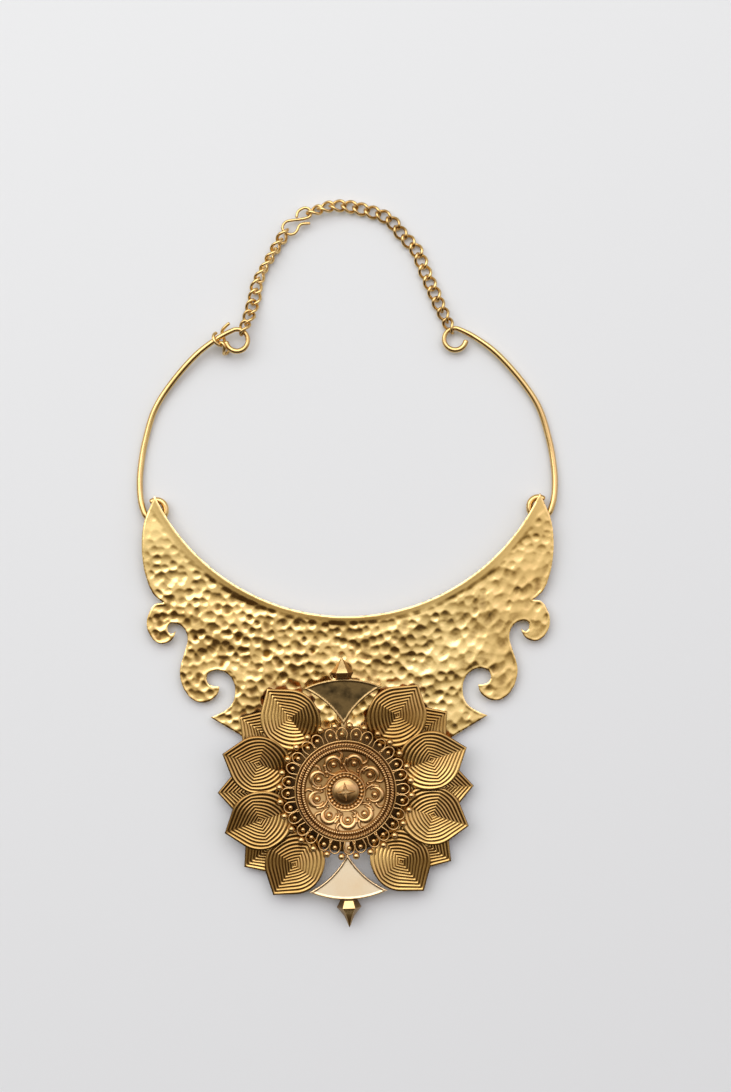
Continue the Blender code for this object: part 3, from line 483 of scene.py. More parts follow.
flower_middle = np.mean(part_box("flower_base"), 0)[1]
side_names = {"left": -1, "right": 1}
for side_name, side in side_names.items():
    node = f"neck_wire_{side_name}"
    corners = solid_points(node)
    above = corners[corners[:, 1] > flower_middle + upper_eye[1] - eye_radius]
    upper_z = (above[:, 2].min() + above[:, 2].max()) / 2
    horn_z = corners[corners[:, 1] < flower_middle + horn_eye[1] + 2 * mm][:, 2].max() - wire_thickness / 2
    rest_z = corners[:, 2].min() + wire_thickness / 2
    route = []
    for step in range(eye_steps, -1, -1):
        turned = horn_eye_turn * step / eye_steps
        share = min(turned / horn_eye_closing, 1)
        reach = horn_eye_radii[0] + (horn_eye_radii[1] - horn_eye_radii[0]) * share
        angle = horn_eye_start - turned
        route.append((horn_eye[0] + reach * math.cos(angle), horn_eye[1] + reach * math.sin(angle), horn_z))
    eye = []
    for step in range(eye_steps + 1):
        angle = upper_eye_start + upper_eye_turn * step / eye_steps
        place = (upper_eye[0] + eye_radius * math.cos(angle), upper_eye[1] + eye_radius * math.sin(angle))
        eye.append((*place, upper_z))
    bow = [route[-6], route[-1]]
    for across, up, low_share, high_share in wire_bow:
        z = rest_z + (horn_z - rest_z) * low_share + (upper_z - rest_z) * high_share
        bow.append((horn_eye[0] * across, horn_eye[1] + wire_rise * up, z))
    bow = smooth_route(bow + [eye[0], eye[6]], 12)[12:-12]
    route = np.vstack([route[:-1], bow, eye[1:]])
    route[:, 0] *= side
    route[:, 1] += flower_middle
    until_eye = len(route) - np.arange(len(route)) - eye_steps
    thinning = np.clip(1 - until_eye / 24, 0, 1) - 0.5 * np.clip(-until_eye / 12 - 2, 0, 1)
    radii = wire_thickness / 2 * (1 + (thinned_end - 1) * thinning)
    mesh = shaped(node, *round_wire(route, radii, sides=24))
    put(node, mesh, wire_brass, "wire_brass", node)

# The staples: a bent brass wire soldered behind each horn, which holds the neck wire's lower eye.
# Only its shine can be seen past the horn's edge.
staple_radius = 0.65 * mm
for side_name, side in side_names.items():
    x = side * horn_eye[0]
    near_y = flower_middle + horn_eye[1]
    far_y = near_y - horn_eye_radii[0] - wire_thickness / 2 - 2 * mm
    back_near = face_height(x, near_y) - 0.6 * plate_thickness
    back_far = face_height(x, far_y) - 0.6 * plate_thickness
    staple = [
        (x, near_y, back_near),
        (x, near_y, 2 * staple_radius),
        (x, near_y - staple_radius, staple_radius),
        (x, far_y + staple_radius, staple_radius),
        (x, far_y, 2 * staple_radius),
        (x, far_y, back_far),
    ]
    wire = round_wire(smooth_route(staple, 5), staple_radius, 14)
    put(f"staple_{side_name}", shaped(f"staple_{side_name}", *wire), wire_brass, "bright_brass")

# The curb chain: ovals of round brass wire, each twisted so that it lies flat against the next.
# They are linked by hand and soldered, and the two runs meet in the hook.
link_wire = 1.16 * mm
link_half_length = 2.865 * mm
link_half_width = 2.025 * mm
link_twist = math.radians(58)
runs = {"right_link": 18, "left_link": 10}


def chain_link():
    """A link's wire about its own middle, longest along x."""
    turn = once_round(44)
    twist = link_twist * np.cos(turn)
    across = link_half_width * np.sin(turn)
    route = np.column_stack([link_half_length * np.cos(turn), across * np.cos(twist), across * np.sin(twist)])
    return round_wire(route, link_wire / 2, 12, loop=True)


def laid_like(node, points):
    """Turns a link's points to lie as the frame's link does."""
    corners = solid_points(node)
    middle = corners.mean(0)
    spread, axes = np.linalg.eigh(np.cov((corners - middle).T))
    length_axis = axes[:, 2]
    width_axis = axes[:, 1]
    return points @ np.array([length_axis, width_axis, np.cross(length_axis, width_axis)]) + middle


link_points, link_faces = chain_link()
for run, count in runs.items():
    nodes = [f"{run}_{number:02d}" for number in range(1, count + 1)]
    links = joined([(laid_like(node, link_points), link_faces) for node in nodes])
    put(f"{run}s", shaped(f"{run}s", *links), wire_brass, "wire_brass", *nodes)

# The hook between the chain's two runs: one brass wire bent into an S and left open at both ends.
# The first link of each run hangs in one of its bends.
hook_radius = 0.55 * mm
hook_bends = [
    (-17.8, 209.45), (-17.4, 211.1), (-16.3, 212.2), (-14.6, 212.8), (-13.1, 212.2), (-12.5, 211.0),
    (-13.0, 209.6), (-14.7, 208.9), (-17.1, 208.5), (-19.8, 208.2), (-21.5, 207.8), (-22.7, 206.6),
    (-22.9, 205.1), (-22.0, 203.8), (-20.4, 203.1), (-18.7, 203.4), (-17.6, 204.6), (-17.1, 205.8),
    (-16.3, 206.7), (-15.1, 207.0), (-13.1, 207.1),
]
hook_low, hook_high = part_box("s_hook")
hook_z = (hook_low[2] + hook_high[2]) / 2
hook = smooth_route([(x * mm, flower_middle + y * mm, hook_z) for x, y in hook_bends], 6)
put("s_hook", shaped("s_hook", *round_wire(hook, hook_radius, 16)), wire_brass, "wire_brass", "s_hook")

# The tail at the left eye: a small spare hook of thin brass wire, bent round the neck wire, and the
# single curb link on it. Both are loose.
tail_place = (-46.7 * mm, 165.2 * mm)
tail_along = np.array([0.87, 0.49, 0])
tail_radius = 2.45 * mm
tail_drop = 0.5 * mm
tail_start = math.radians(95)
tail_turn = math.radians(275)
tail_steps = 40
tail_wire_radius = 0.54 * link_wire
free_end = [(1.9, 0.8, -1.6), (2.8, 1.9, -1.2), (4.3, 2.4, -0.8), (6.0, 2.7, -0.5)]
left_wire = solid_points("neck_wire_left")
along = tail_along / np.linalg.norm(tail_along)
upward = np.array([0.0, 0.0, 1.0])
across = np.cross(upward, along)
raised_side = (upward - along) / math.sqrt(2)
near = np.hypot(left_wire[:, 0] - tail_place[0], left_wire[:, 1] - flower_middle - tail_place[1]) < 2 * mm
on_wire = np.array([tail_place[0], flower_middle + tail_place[1], left_wire[near][:, 2].mean()])
tail = []
for step in range(tail_steps + 1):
    angle = tail_start - tail_turn * step / tail_steps
    spoke = raised_side * math.cos(angle) + across * math.sin(angle)
    tail.append(on_wire - across * tail_drop + spoke * tail_radius)
ends = [tail[-1]]
for forward, sideways, up in free_end:
    ends.append(on_wire + (along * forward + across * sideways + upward * up) * mm)
tail = np.vstack([tail[:-1], smooth_route(ends, 8)])
tail_hook = shaped("tail_hook", *round_wire(tail, tail_wire_radius, 14))
put("tail_hook", tail_hook, wire_brass, "wire_brass", "tail_hook")
tail_link = shaped("tail_link", laid_like("tail_link", link_points), link_faces)
put("tail_link", tail_link, wire_brass, "wire_brass", "tail_link")

# The flower's base: a disc of sheet brass, cut round and soldered to the plate's lobe. It carries
# the petals, the medallion and the fans' feet.
plate_slope = 0.045
flower_turn = math.radians(1.15)
base_thickness = 0.8 * mm
base_low, base_high = np.array(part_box("flower_base"))
base_tilt = Matrix.Rotation(math.atan(plate_slope), 4, "X") @ Matrix.Rotation(flower_turn, 4, "Z")
base_middle = Vector((base_low + base_high) / 2)
seat = Matrix.Translation(base_middle - base_tilt @ Vector((0, 0, base_thickness / 2))) @ base_tilt
base_radius = 23.2 * mm
# Painted near-black brown: oxide, and painted shade where the base lies under the petals, the medallion and
# the gallery.
base_oxide_and_shade = brass("base_oxide_and_shade", (0.16, 0.09, 0.03), (0.06, 0.03, 0.015), 0.5, patches=0.9, grain=0.05)


def seated(name, points, faces, height=None):
    """A mesh modelled on the flower's seat and set in the necklace's own place."""
    mesh = shaped(name, points, faces, height)
    mesh.transform(seat)
    return mesh


def rings_at(profile, angle):
    """Rings of points round an upright middle, one for each radius and height of a profile."""
    rings = []
    for radius, z in profile:
        level = np.full(len(angle), z)
        rings.append(np.column_stack([radius * np.cos(angle), radius * np.sin(angle), level]))
    return np.array(rings)


def spun(profile, steps, loop=False):
    """A turned shape from its profile of radii and heights."""
    return skin(rings_at(profile, once_round(steps)), loop)


edge_round = 0.12 * mm
base_profile = [
    (0.01 * mm, base_thickness),
    (base_radius - 2 * edge_round, base_thickness),
    (base_radius - 0.6 * edge_round, base_thickness - 0.6 * edge_round),
    (base_radius, base_thickness - 2 * edge_round),
    (base_radius, edge_round),
    (base_radius - edge_round, 0),
    (0.01 * mm, 0),
]
put("flower_base", seated("flower_base", *spun(base_profile, 160)), base_oxide_and_shade, "petal_brass", "flower_base")

# The petals: thin sheet brass pressed in a die, with fine rings of ridges that turn square towards
# the middle, and folded a little so that both halves slope inwards. Six lie at the back, soldered to
# the base, and eight over them.
petal_radius = 33.2 * mm
petal_half_width = 10.7 * mm
petal_tip = 13.6 * mm
petal_root = 12.4 * mm
petal_ridge = 0.3 * mm
petal_ridges = 9
petal_sheet = 0.5 * mm
petal_fold = 1.15 * mm
petal_roll = math.radians(3.4)
front_petal_z = 3.035 * mm
back_petal_ridges = 7
back_petal_sheet = 0.7 * mm
back_petal_fold = 0.7 * mm
back_petal_width = 0.91
back_petal_z = 1.1 * mm
# Painted shade: how much of their brightness the petals' halves turned from the light keep.
shaded_flank = 0.48
shaded_flank_left = 0.37
gallery_shade = 22.8 * mm
petal_steps = 112
ridge_samples = 8
# Columns: angle round the flower in degrees, whether it is lifted, and which way it rolls.
front_petals = [(18, 1, 0), (54, 0, 1), (126, 0, -1), (162, 0, -1)]
front_petals += [(198, 1, 0), (234, 0, 1), (306, 0, -1), (342, 0, -1)]
back_petals = [0, 36, 144, 180, 216, 324]
petal_brass = brass("petal_brass", (0.70, 0.46, 0.16), (0.30, 0.16, 0.04), 0.26, relief=True, patches=0.9)


def petal(ridges, fold, sheet):
    """A pressed petal about its middle, its tip along x: points, faces and painted light on its ridges,
    bright on the crests and shaded between them.
    """
    turn = once_round(petal_steps)
    turn = np.where(turn > np.pi, turn - 2 * np.pi, turn)
    tangent = math.acos(petal_half_width / petal_tip)
    bend = np.abs(turn)
    near_tip = petal_half_width / np.cos(np.minimum(tangent - bend, 1.2))
    drop = np.where(bend < tangent, near_tip, petal_half_width)
    drop = drop + (petal_root - petal_half_width) * np.maximum(0, -np.cos(bend)) ** 2
    reach = np.where(bend < np.pi / 2, petal_tip, petal_root)
    diamond = 1 / (np.abs(np.cos(bend)) / reach + np.abs(np.sin(bend)) / petal_half_width)
    pitch = 1 / (petal_ridges + 0.4)
    rings = []
    crest_light = []

    def ring(share, z, relief):
        squareness = min(0.97, 1.15 * (1 - share))
        radius = share * (drop * (1 - squareness) + diamond * squareness)
        raised = z + fold * np.abs(radius * np.sin(turn)) / petal_half_width
        rings.append(np.column_stack([radius * np.cos(turn), radius * np.sin(turn), raised]))
        crest_light.extend([relief] * petal_steps)

    ring(0.002, 0, 0)
    ring(0.99, 0, 0)
    ring(1.0, 0.5 * sheet, 0.3)
    for sample in range(ridges * ridge_samples + 1):
        share = 1 - pitch * sample / ridge_samples
        crest = math.sin(math.pi * (sample % ridge_samples) / ridge_samples) ** 1.3
        if share > 0:
            ring(share, sheet + petal_ridge * crest, crest**0.6)
    left = 1 - ridges * pitch
    for share in np.linspace(left, 0.004, 8):
        crest = math.sin(math.pi * share / left) ** 0.8 if ridges == petal_ridges else 0.6
        ring(share, sheet + 0.8 * petal_ridge * crest, crest)
    return *skin(np.array(rings)), np.array(crest_light)


def petal_piece(name, pattern, angle, z, roll):
    """A petal set at its place round the flower, with painted shade on its upper half, on both halves of the
    leftmost ones, and by the gallery.
    """
    points, faces, crest_light = pattern
    turn = math.radians(angle)
    place = Matrix.Translation((petal_radius * math.cos(turn), petal_radius * math.sin(turn), z))
    place = place @ Matrix.Rotation(turn, 4, "Z") @ Matrix.Rotation(roll, 4, "X")
    out = np.array([(place @ Vector(point)).xy.length for point in points])
    # Painted shade: the upper half is painted darker, more on the left petals, the two leftmost are darker on
    # both halves, and all is dark under the gallery's edge.
    upper_half = np.clip(0.5 + points[:, 1] * math.copysign(1, math.cos(turn)) / (0.8 * mm), 0, 1)
    lower = shaded_flank if math.cos(turn) < -0.9 else 1.0
    upper = shaded_flank if math.cos(turn) > 0 else shaded_flank_left
    shine = lower + (upper - lower) * upper_half
    mesh = shaped(name, points, faces, shine * crest_light * np.clip((out - gallery_shade) / (2 * mm), 0, 1))
    mesh.transform(seat @ place)
    mesh.set_sharp_from_angle(angle=math.radians(65))
    put(name, mesh, petal_brass, "petal_brass", name)


back_pattern = petal(back_petal_ridges, back_petal_fold, back_petal_sheet)
back_pattern[0][:, 1] *= back_petal_width
for number, angle in enumerate(back_petals, 1):
    petal_piece(f"back_petal_{number}", back_pattern, angle, back_petal_z, 0)
front_pattern = petal(petal_ridges, petal_fold, petal_sheet)
petal_drop = petal_half_width * math.sin(petal_roll)
for number, (angle, lift, roll) in enumerate(front_petals, 1):
    z = front_petal_z + lift * petal_drop
    petal_piece(f"front_petal_{number}", front_pattern, angle, z, roll * petal_roll)

# The fans: two cut brass plates with a raised, rounded rim round a sunk field. The upper one is
# dark with age, and the lower one is rubbed bright. Each is soldered to a foot behind the gallery.
fan_apex = 24.0 * mm
fan_corner = (14.3 * mm, 37.7 * mm)
fan_peak = 40.8 * mm
fan_sag = 1.6 * mm
fan_thickness = 0.8 * mm
fan_rim = 0.62 * mm
fan_recess = 0.3 * mm
fan_z = 4.469 * mm
foot_half_width = 0.9 * mm
foot_inner = 19.6 * mm
foot_outer = 22.6 * mm
foot_z = 1.1 * mm
shelf_outer = 24.7 * mm
lower_inset = 0.8 * mm


def fan_edge():
    """Outline of the upper fan: a point towards the flower, hollow sides and a bowed outer edge."""
    start = np.array([0, fan_apex])
    corner = np.array(fan_corner)
    inward = np.array([-(corner - start)[1], (corner - start)[0]])
    inward /= np.linalg.norm(inward)
    share = np.linspace(0, 1, 60, endpoint=False)[:, None]
    side = start + (corner - start) * share + inward * fan_sag * 4 * share * (1 - share)
    sagitta = fan_peak - fan_corner[1]
    radius = (fan_corner[0] ** 2 + sagitta**2) / (2 * sagitta)
    spread = math.asin(fan_corner[0] / radius)
    angle = np.linspace(spread, -spread, 91)
    arc = np.column_stack([radius * np.sin(angle), fan_peak - radius * (1 - np.cos(angle))])
    return np.vstack([side, arc, side[:0:-1] * (-1, 1)])


def cushion(outline, spacing, top, bottom):
    """A plate of one outline: its top's height comes from the distance to the edge."""
    inner, inner_faces = filled(outline, spacing)
    border = finder(outline)
    gap = np.array([border.find((x, y, 0))[2] for x, y in inner])
    count = len(inner)
    points = np.vstack([np.column_stack([inner, top(gap)]), np.column_stack([inner, np.full(count, bottom)])])
    return points, sheet_faces(inner_faces, inner_faces, count, len(outline)), gap


def fan_top(gap):
    """Height of a fan's face at a distance from its edge."""
    rim = np.sqrt(np.clip(1 - (1 - np.clip(gap / (0.5 * fan_rim), 0, 1)) ** 2, 0, 1)) * 0.2 * mm
    sunk = np.clip((gap - fan_rim) / (0.25 * mm), 0, 1)
    return fan_z + fan_thickness - 0.2 * mm + rim - fan_recess * sunk


fan_brass = brass("fan_brass", (0.86, 0.64, 0.36), (0.62, 0.42, 0.20), 0.3, patches=0.4)
rubbed_field = brass("rubbed_field", (1.0, 0.86, 0.60), (0.93, 0.70, 0.40), 0.3, patches=0.6, clouds=90)
rubbed_field.node_tree.nodes["Principled BSDF"].inputs["Metallic"].default_value = 0.38
aged_rim = brass("aged_rim", (0.52, 0.36, 0.15), (0.24, 0.15, 0.06), 0.34, patches=0.8)
aged_field = brass(
    "aged_field", (0.18, 0.12, 0.045), (0.04, 0.027, 0.011), 0.5, patches=1.0, grain=0.08, clouds=240
)
fan_points, fan_faces, fan_gap = cushion(fan_edge(), 0.3 * mm, fan_top, fan_z)


def filed(shape, edges, soft):
    """The points and faces of a shape with some of its edges filed off."""
    bmesh.ops.bevel(shape, geom=edges, offset=soft, segments=3, profile=0.5, affect="EDGES")
    shape.verts.index_update()
    points = np.array([tuple(vertex.co) for vertex in shape.verts])
    faces = [tuple(vertex.index for vertex in face.verts) for face in shape.faces]
    shape.free()
    return points, faces


def block(low, high, soft):
    """A small bar with its edges filed."""
    shape = bmesh.new()
    bmesh.ops.create_cube(shape, size=1)
    for vertex in shape.verts:
        vertex.co = [low[axis] + (vertex.co[axis] + 0.5) * (high[axis] - low[axis]) for axis in range(3)]
    return filed(shape, shape.edges[:], soft)


shelf_z = fan_z + 0.1 * mm
shelf_top = fan_z + 0.4 * mm
foot = block((-foot_half_width, foot_inner, foot_z), (foot_half_width, foot_outer, shelf_z), 0.15 * mm)
shelf = block((-foot_half_width, foot_inner, shelf_z), (foot_half_width, shelf_outer, shelf_top), 0.1 * mm)
fan_all = joined([(fan_points, fan_faces), foot, shelf])
lower_shift = Matrix.Translation((0, -lower_inset, 0))
fan_ends = [
    ("upper", Matrix.Identity(4), aged_rim, aged_field),
    ("lower", Matrix.Rotation(math.pi, 4, "Z") @ lower_shift, fan_brass, rubbed_field),
]
for end, turned, rim, field in fan_ends:
    mesh = shaped(f"fan_{end}", *fan_all)
    mesh.materials.append(rim)
    mesh.materials.append(field)
    sunk = set(np.flatnonzero(fan_gap > fan_rim + 0.1 * mm))
    for polygon in mesh.polygons:
        polygon.material_index = int(all(corner in sunk for corner in polygon.vertices))
    mesh.transform(seat @ turned)
    mesh.set_sharp_from_angle(angle=math.radians(50))
    put(f"fan_{end}", mesh, fan_brass, "fan_brass", f"fan_{end}")

# The finials: six-sided buds, cast solid in brass and filed, soldered to the fans' outer edges. The
# lower one is drawn out to a long point, and the upper one is short.
finial_sides = 6
filed_corner = 0.12 * mm
# Columns: radius and height in millimetres, from the tip to the foot.
long_profile = [
    (0.05, 10.2), (0.5, 9.3), (1.05, 7.8), (1.9, 6.0), (3.1, 4.4), (4.55, 2.7), (3.1, 0.0), (0.01, 0.0),
]
short_profile = [(0.05, 7.7), (1.0, 6.3), (2.6, 4.2), (4.25, 2.1), (3.1, 0.0), (0.01, 0.0)]


def filed_bud(profile):
    """A finial about its foot, its tip along z, with its corners taken off."""
    shape = bmesh.new()
    corners = rings_at(profile, once_round(finial_sides)) * mm
    rings = [[shape.verts.new(tuple(corner)) for corner in ring] for ring in corners]
    for low, high in zip(rings, rings[1:]):
        for step in range(finial_sides):
            beside = (step + 1) % finial_sides
            shape.faces.new((low[step], high[step], high[beside], low[beside]))
    shape.faces.new(rings[0])
    shape.faces.new(list(reversed(rings[-1])))
    bmesh.ops.recalc_face_normals(shape, faces=shape.faces)
    sharp = [edge for edge in shape.edges if edge.calc_face_angle(0) > 0.4 and edge.calc_length() > 0.3 * mm]
    return filed(shape, sharp, filed_corner)


bud_brass = brass("bud_brass", (0.72, 0.49, 0.21), (0.34, 0.20, 0.07), 0.26, patches=0.6)
bud_shade = brass("bud_shade", (0.30, 0.19, 0.08), (0.14, 0.08, 0.03), 0.36, patches=0.8)
for end, direction, profile in (("upper", 1, short_profile), ("lower", -1, long_profile)):
    low, high = np.array(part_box(f"finial_{end}"))
    foot_y = low[1] if direction > 0 else high[1]
    place = Matrix.Translation(((low[0] + high[0]) / 2, foot_y, (low[2] + high[2]) / 2))
    place = place @ Matrix.Rotation(flower_turn, 4, "Z") @ Matrix.Rotation(-direction * math.pi / 2, 4, "X")
    if end == "lower":
        place = Matrix.Translation((0, lower_inset, 0)) @ place
    mesh = shaped(f"finial_{end}", *filed_bud(profile))
    mesh.transform(place)
    mesh.set_sharp_from_angle(angle=math.radians(35))
    mesh.materials.append(bud_brass)
    mesh.materials.append(bud_shade)
    for polygon in mesh.polygons:
        polygon.material_index = int(polygon.normal.z < 0.6)
    put(f"finial_{end}", mesh, bud_brass, "fan_brass", f"finial_{end}")

# The gallery: a pierced ring of brass wire arches in pairs, soldered to a flat rim, with a melted
# grain in every arch, at every cusp and round the outside.
gallery_z = 5.569 * mm
gallery_thickness = 0.7 * mm
gallery_inner = 18.1 * mm
gallery_rim = 0.45 * mm
gallery_wire = 0.28 * mm
pairs = 14
first_pair = math.radians(-90 + 7.8)
arch_offset = math.radians(5.7)
arch_foot = 18.6 * mm
arch_middle = 20.9 * mm
arch_half_width = 1.95 * mm
arch_crown = 23.2 * mm
arch_sweep = math.radians(118)
arch_steps = 30
arch_grain = 0.92 * mm
cusp_circle = 19.5 * mm
cusp_grain = 0.5 * mm
outer_circle = 24.0 * mm
outer_grain = 1.3 * mm
cast_brass = brass("cast_brass", (0.88, 0.59, 0.27), (0.44, 0.25, 0.09), 0.25, relief=True, patches=0.7)
grain_brass = brass("grain_brass", (0.76, 0.50, 0.21), (0.38, 0.22, 0.07), 0.2, patches=0.7)


def grain(radius, angle, z, size):
    """A melted grain of brass at a place round the flower."""
    lean = np.linspace(0.02, math.pi - 0.02, 9)
    points, faces = spun([(size * math.sin(a), size * math.cos(a)) for a in lean], 14)
    return points + (radius * math.cos(angle), radius * math.sin(angle), z), faces


gallery_mid = gallery_z + gallery_thickness / 2
rim_profile = [
    (gallery_inner, gallery_z),
    (gallery_inner + gallery_rim, gallery_z),
    (gallery_inner + gallery_rim, gallery_z + 0.6 * gallery_thickness),
    (gallery_inner + gallery_rim - 0.15 * mm, gallery_z + 0.75 * gallery_thickness),
    (gallery_inner, gallery_z + 0.75 * gallery_thickness),
]
gallery = [spun(rim_profile, 240, loop=True)]
for pair in range(pairs):
    middle = first_pair + 2 * math.pi * pair / pairs
    for around in (middle - arch_offset, middle + arch_offset):
        arch = []
        for step in range(arch_steps + 1):
            sweep = arch_sweep * (2 * step / arch_steps - 1)
            reach = (arch_crown - arch_middle) if abs(sweep) < math.pi / 2 else arch_half_width * 1.3
            arch.append((arch_middle + reach * math.cos(sweep), arch_half_width * math.sin(sweep)))
        arch = [(arch_foot, arch[0][1] * 0.85)] + arch + [(arch_foot, arch[-1][1] * 0.85)]
        turned = []
        for along, across in arch:
            x = along * math.cos(around) - across * math.sin(around)
            y = along * math.sin(around) + across * math.cos(around)
            turned.append((x, y, gallery_mid))
        gallery.append(round_wire(turned, gallery_wire, 8))
        gallery.append(grain(arch_middle, around, gallery_mid, arch_grain))
    gallery.append(grain(cusp_circle, middle, gallery_mid + 0.2 * mm, cusp_grain))
    for around in (middle, middle + math.pi / pairs):
        gallery.append(grain(outer_circle, around, gallery_mid + 0.25 * mm, outer_grain))
gallery_mesh = seated("filigree_gallery", *joined(gallery))
put("filigree_gallery", gallery_mesh, grain_brass, "cast_brass", "filigree_gallery")

# The medallion: a cast brass cup with a corded rim, a milled ring inside it and nine scrolls round
# the bowl. Each scroll is a bead in a thick crescent, joined to the next by a running ridge. It is
# soldered to the base, inside the gallery.
medallion_radius = 17.8 * mm
medallion_steps = 648
bowl_z = 5.8 * mm
bowl_radius = 14.4 * mm
mills = 118
mill_circle = 15.45 * mm
mill_half_width = 0.42 * mm
mill_height = 0.34 * mm
cords = 106
cord_circle = 17.1 * mm
cord_half_width = 0.72 * mm
cord_height = 0.5 * mm
cord_slant = 0.42 * mm
cord_sunk = 0.35 * mm
crevice_shade_width = 0.6 * mm
scroll_circle = 10.65 * mm
scroll_angles = [-22.3, 18.8, 57.9, 98.4, 141.7, 177.2, 215.3, 256.3, 295.6]
scroll_bead = 1.05
crescent_radius = 2.5
ridge_radius = 3.45
# Columns: radius and height over the bowl in millimetres, from the middle to the rim.
medallion_profile = [
    (0.0, -0.5), (7.0, -0.45), (9.0, -0.3), (11.0, -0.05), (13.7, 0.3), (14.6, 0.42), (14.9, 0.5),
    (16.0, 0.5), (16.2, 0.2), (16.35, 0.35), (16.6, 0.8), (17.1, 1.12), (17.55, 1.0), (17.8, 0.6),
]
# Columns: radius and height over the seat in millimetres, down the outside and up within the cup.
medallion_wall = [(17.8, 6.0), (17.4, 1.1), (15.9, 1.1), (15.9, 4.7), (0.01, 4.7)]


def strokes_round_bowl():
    """Round-backed strokes of the bowl's relief, as places with a radius and a height."""
    strokes = []
    for clockwise in scroll_angles:
        around = math.radians(90 - clockwise)
        outward = np.array([math.cos(around), math.sin(around)])
        sideways = np.array([math.sin(around), -math.cos(around)])
        centre = outward * scroll_circle

        def mark(along, across, radius, height):
            place = centre + (outward * along + sideways * across) * mm
            strokes.append((place[0], place[1], radius * mm, height * mm))

        # The bead and the crescent round it.
        mark(0, 0, scroll_bead, scroll_bead)
        for step in range(-60, 61):
            sweep = math.radians(2.2 * step)
            thick = 0.18 + 0.78 * max(0.0, math.cos(sweep * 0.68)) ** 1.3
            along = crescent_radius * math.cos(sweep)
            mark(along, crescent_radius * math.sin(sweep), thick, 0.25 + 0.6 * thick)
        # The ridge that runs inside the scroll, and its tail towards the rim.
        for share in np.linspace(0, 1, 50):
            sweep = math.radians(-70 - 120 * share)
            across = ridge_radius * math.sin(sweep) * 0.98
            mark(-0.3 + ridge_radius * math.cos(sweep), across, 0.42 - 0.12 * share, 0.6)
        for share in np.linspace(0, 1, 30):
            mark(1.0 + 2.5 * share, 3.3 + 0.9 * math.sin(2.6 * share), 0.5 - 0.22 * share, 0.6)
        # The two knobs between this scroll and the next.
        mark(-1.5, 3.5, 0.6, 0.65)
        mark(-2.4, 2.2, 0.45, 0.55)
    return strokes


def cast_round(name, face, shine, wall, wall_shine):
    """Puts a cast round piece, from the points of its face and the rings of its wall, the wall painted darker
    as painted shade.
    """
    shine = np.vstack([shine, np.full(wall.shape[:2], wall_shine)])
    points, faces = skin(np.concatenate([face, wall]))
    put(name, seated(name, points, faces, shine.ravel()), cast_brass, "cast_brass", name)


def ridge(distance, half_width):
    """How much of its height a rounded ridge has at a distance from its crest."""
    return np.clip(1 - (distance / half_width) ** 2, 0, 1)


profile_r, profile_z = np.array(medallion_profile).T * mm
bowl_radii = np.concatenate([np.linspace(0.01, 6.6, 6), np.linspace(7.0, 14.2, 84)]) * mm
radii = np.concatenate([bowl_radii, np.linspace(14.3 * mm, medallion_radius, 46)])
angle = once_round(medallion_steps)
radius_grid, angle_grid = np.meshgrid(radii, angle, indexing="ij")
x_grid = radius_grid * np.cos(angle_grid)
y_grid = radius_grid * np.sin(angle_grid)
relief = np.zeros_like(radius_grid)
crevice_shade = np.zeros_like(radius_grid)
for x, y, size, tall in strokes_round_bowl():
    apart = np.hypot(x_grid - x, y_grid - y)
    relief = np.maximum(relief, tall * np.sqrt(ridge(apart, size)))
    crevice_shade = np.maximum(crevice_shade, np.clip(1 - (apart - size) / crevice_shade_width, 0, 1))
milled = ridge(radius_grid - mill_circle, mill_half_width)
milled = milled * (0.5 + 0.5 * np.cos(mills * angle_grid))
corded = ridge(radius_grid - cord_circle, cord_half_width)
corded = corded * (0.5 + 0.5 * np.cos(cords * angle_grid + (radius_grid - 17 * mm) / cord_slant))
z_grid = bowl_z + np.interp(radius_grid, profile_r, profile_z) + relief
z_grid += mill_height * milled + cord_height * corded - cord_sunk * (radius_grid > 16.6 * mm)
# Painted light and shade: the strokes and the crests of the mills and cords are painted brighter, and the
# bowl darker in the crevices beside the strokes.
bowl_shine = 0.56 - 0.46 * crevice_shade + relief / (0.55 * mm)
rim_shine = 0.1 + 0.9 * np.maximum(milled, corded)
shine = np.where(radius_grid < bowl_radius, bowl_shine, rim_shine)
wall = rings_at(np.array(medallion_wall) * mm, angle)
cast_round("medallion", np.stack([x_grid, y_grid, z_grid], -1), shine, wall, 0.3)

# The boss in its middle: a low dome with a four-pointed cross, a ring of pearls and a thin rim, all
# cast in one piece of brass and soldered into the bowl.
boss_foot = 6.1 * mm
boss_radius = 7.2 * mm
boss_steps = 216
dome_radius = 5.0 * mm
cross_turn = math.radians(4)
cross_half_width = 0.95 * mm
cross_length = 3.4 * mm
cross_height = 0.6 * mm
cross_top = 3.28 * mm
arm_edge_shade_width = 0.3 * mm
knob_radius = 0.55 * mm
knob_height = 0.35 * mm
pearls = 27
pearl_circle = 5.86 * mm
pearl_radius = 0.56 * mm
pearl_height = 0.6 * mm
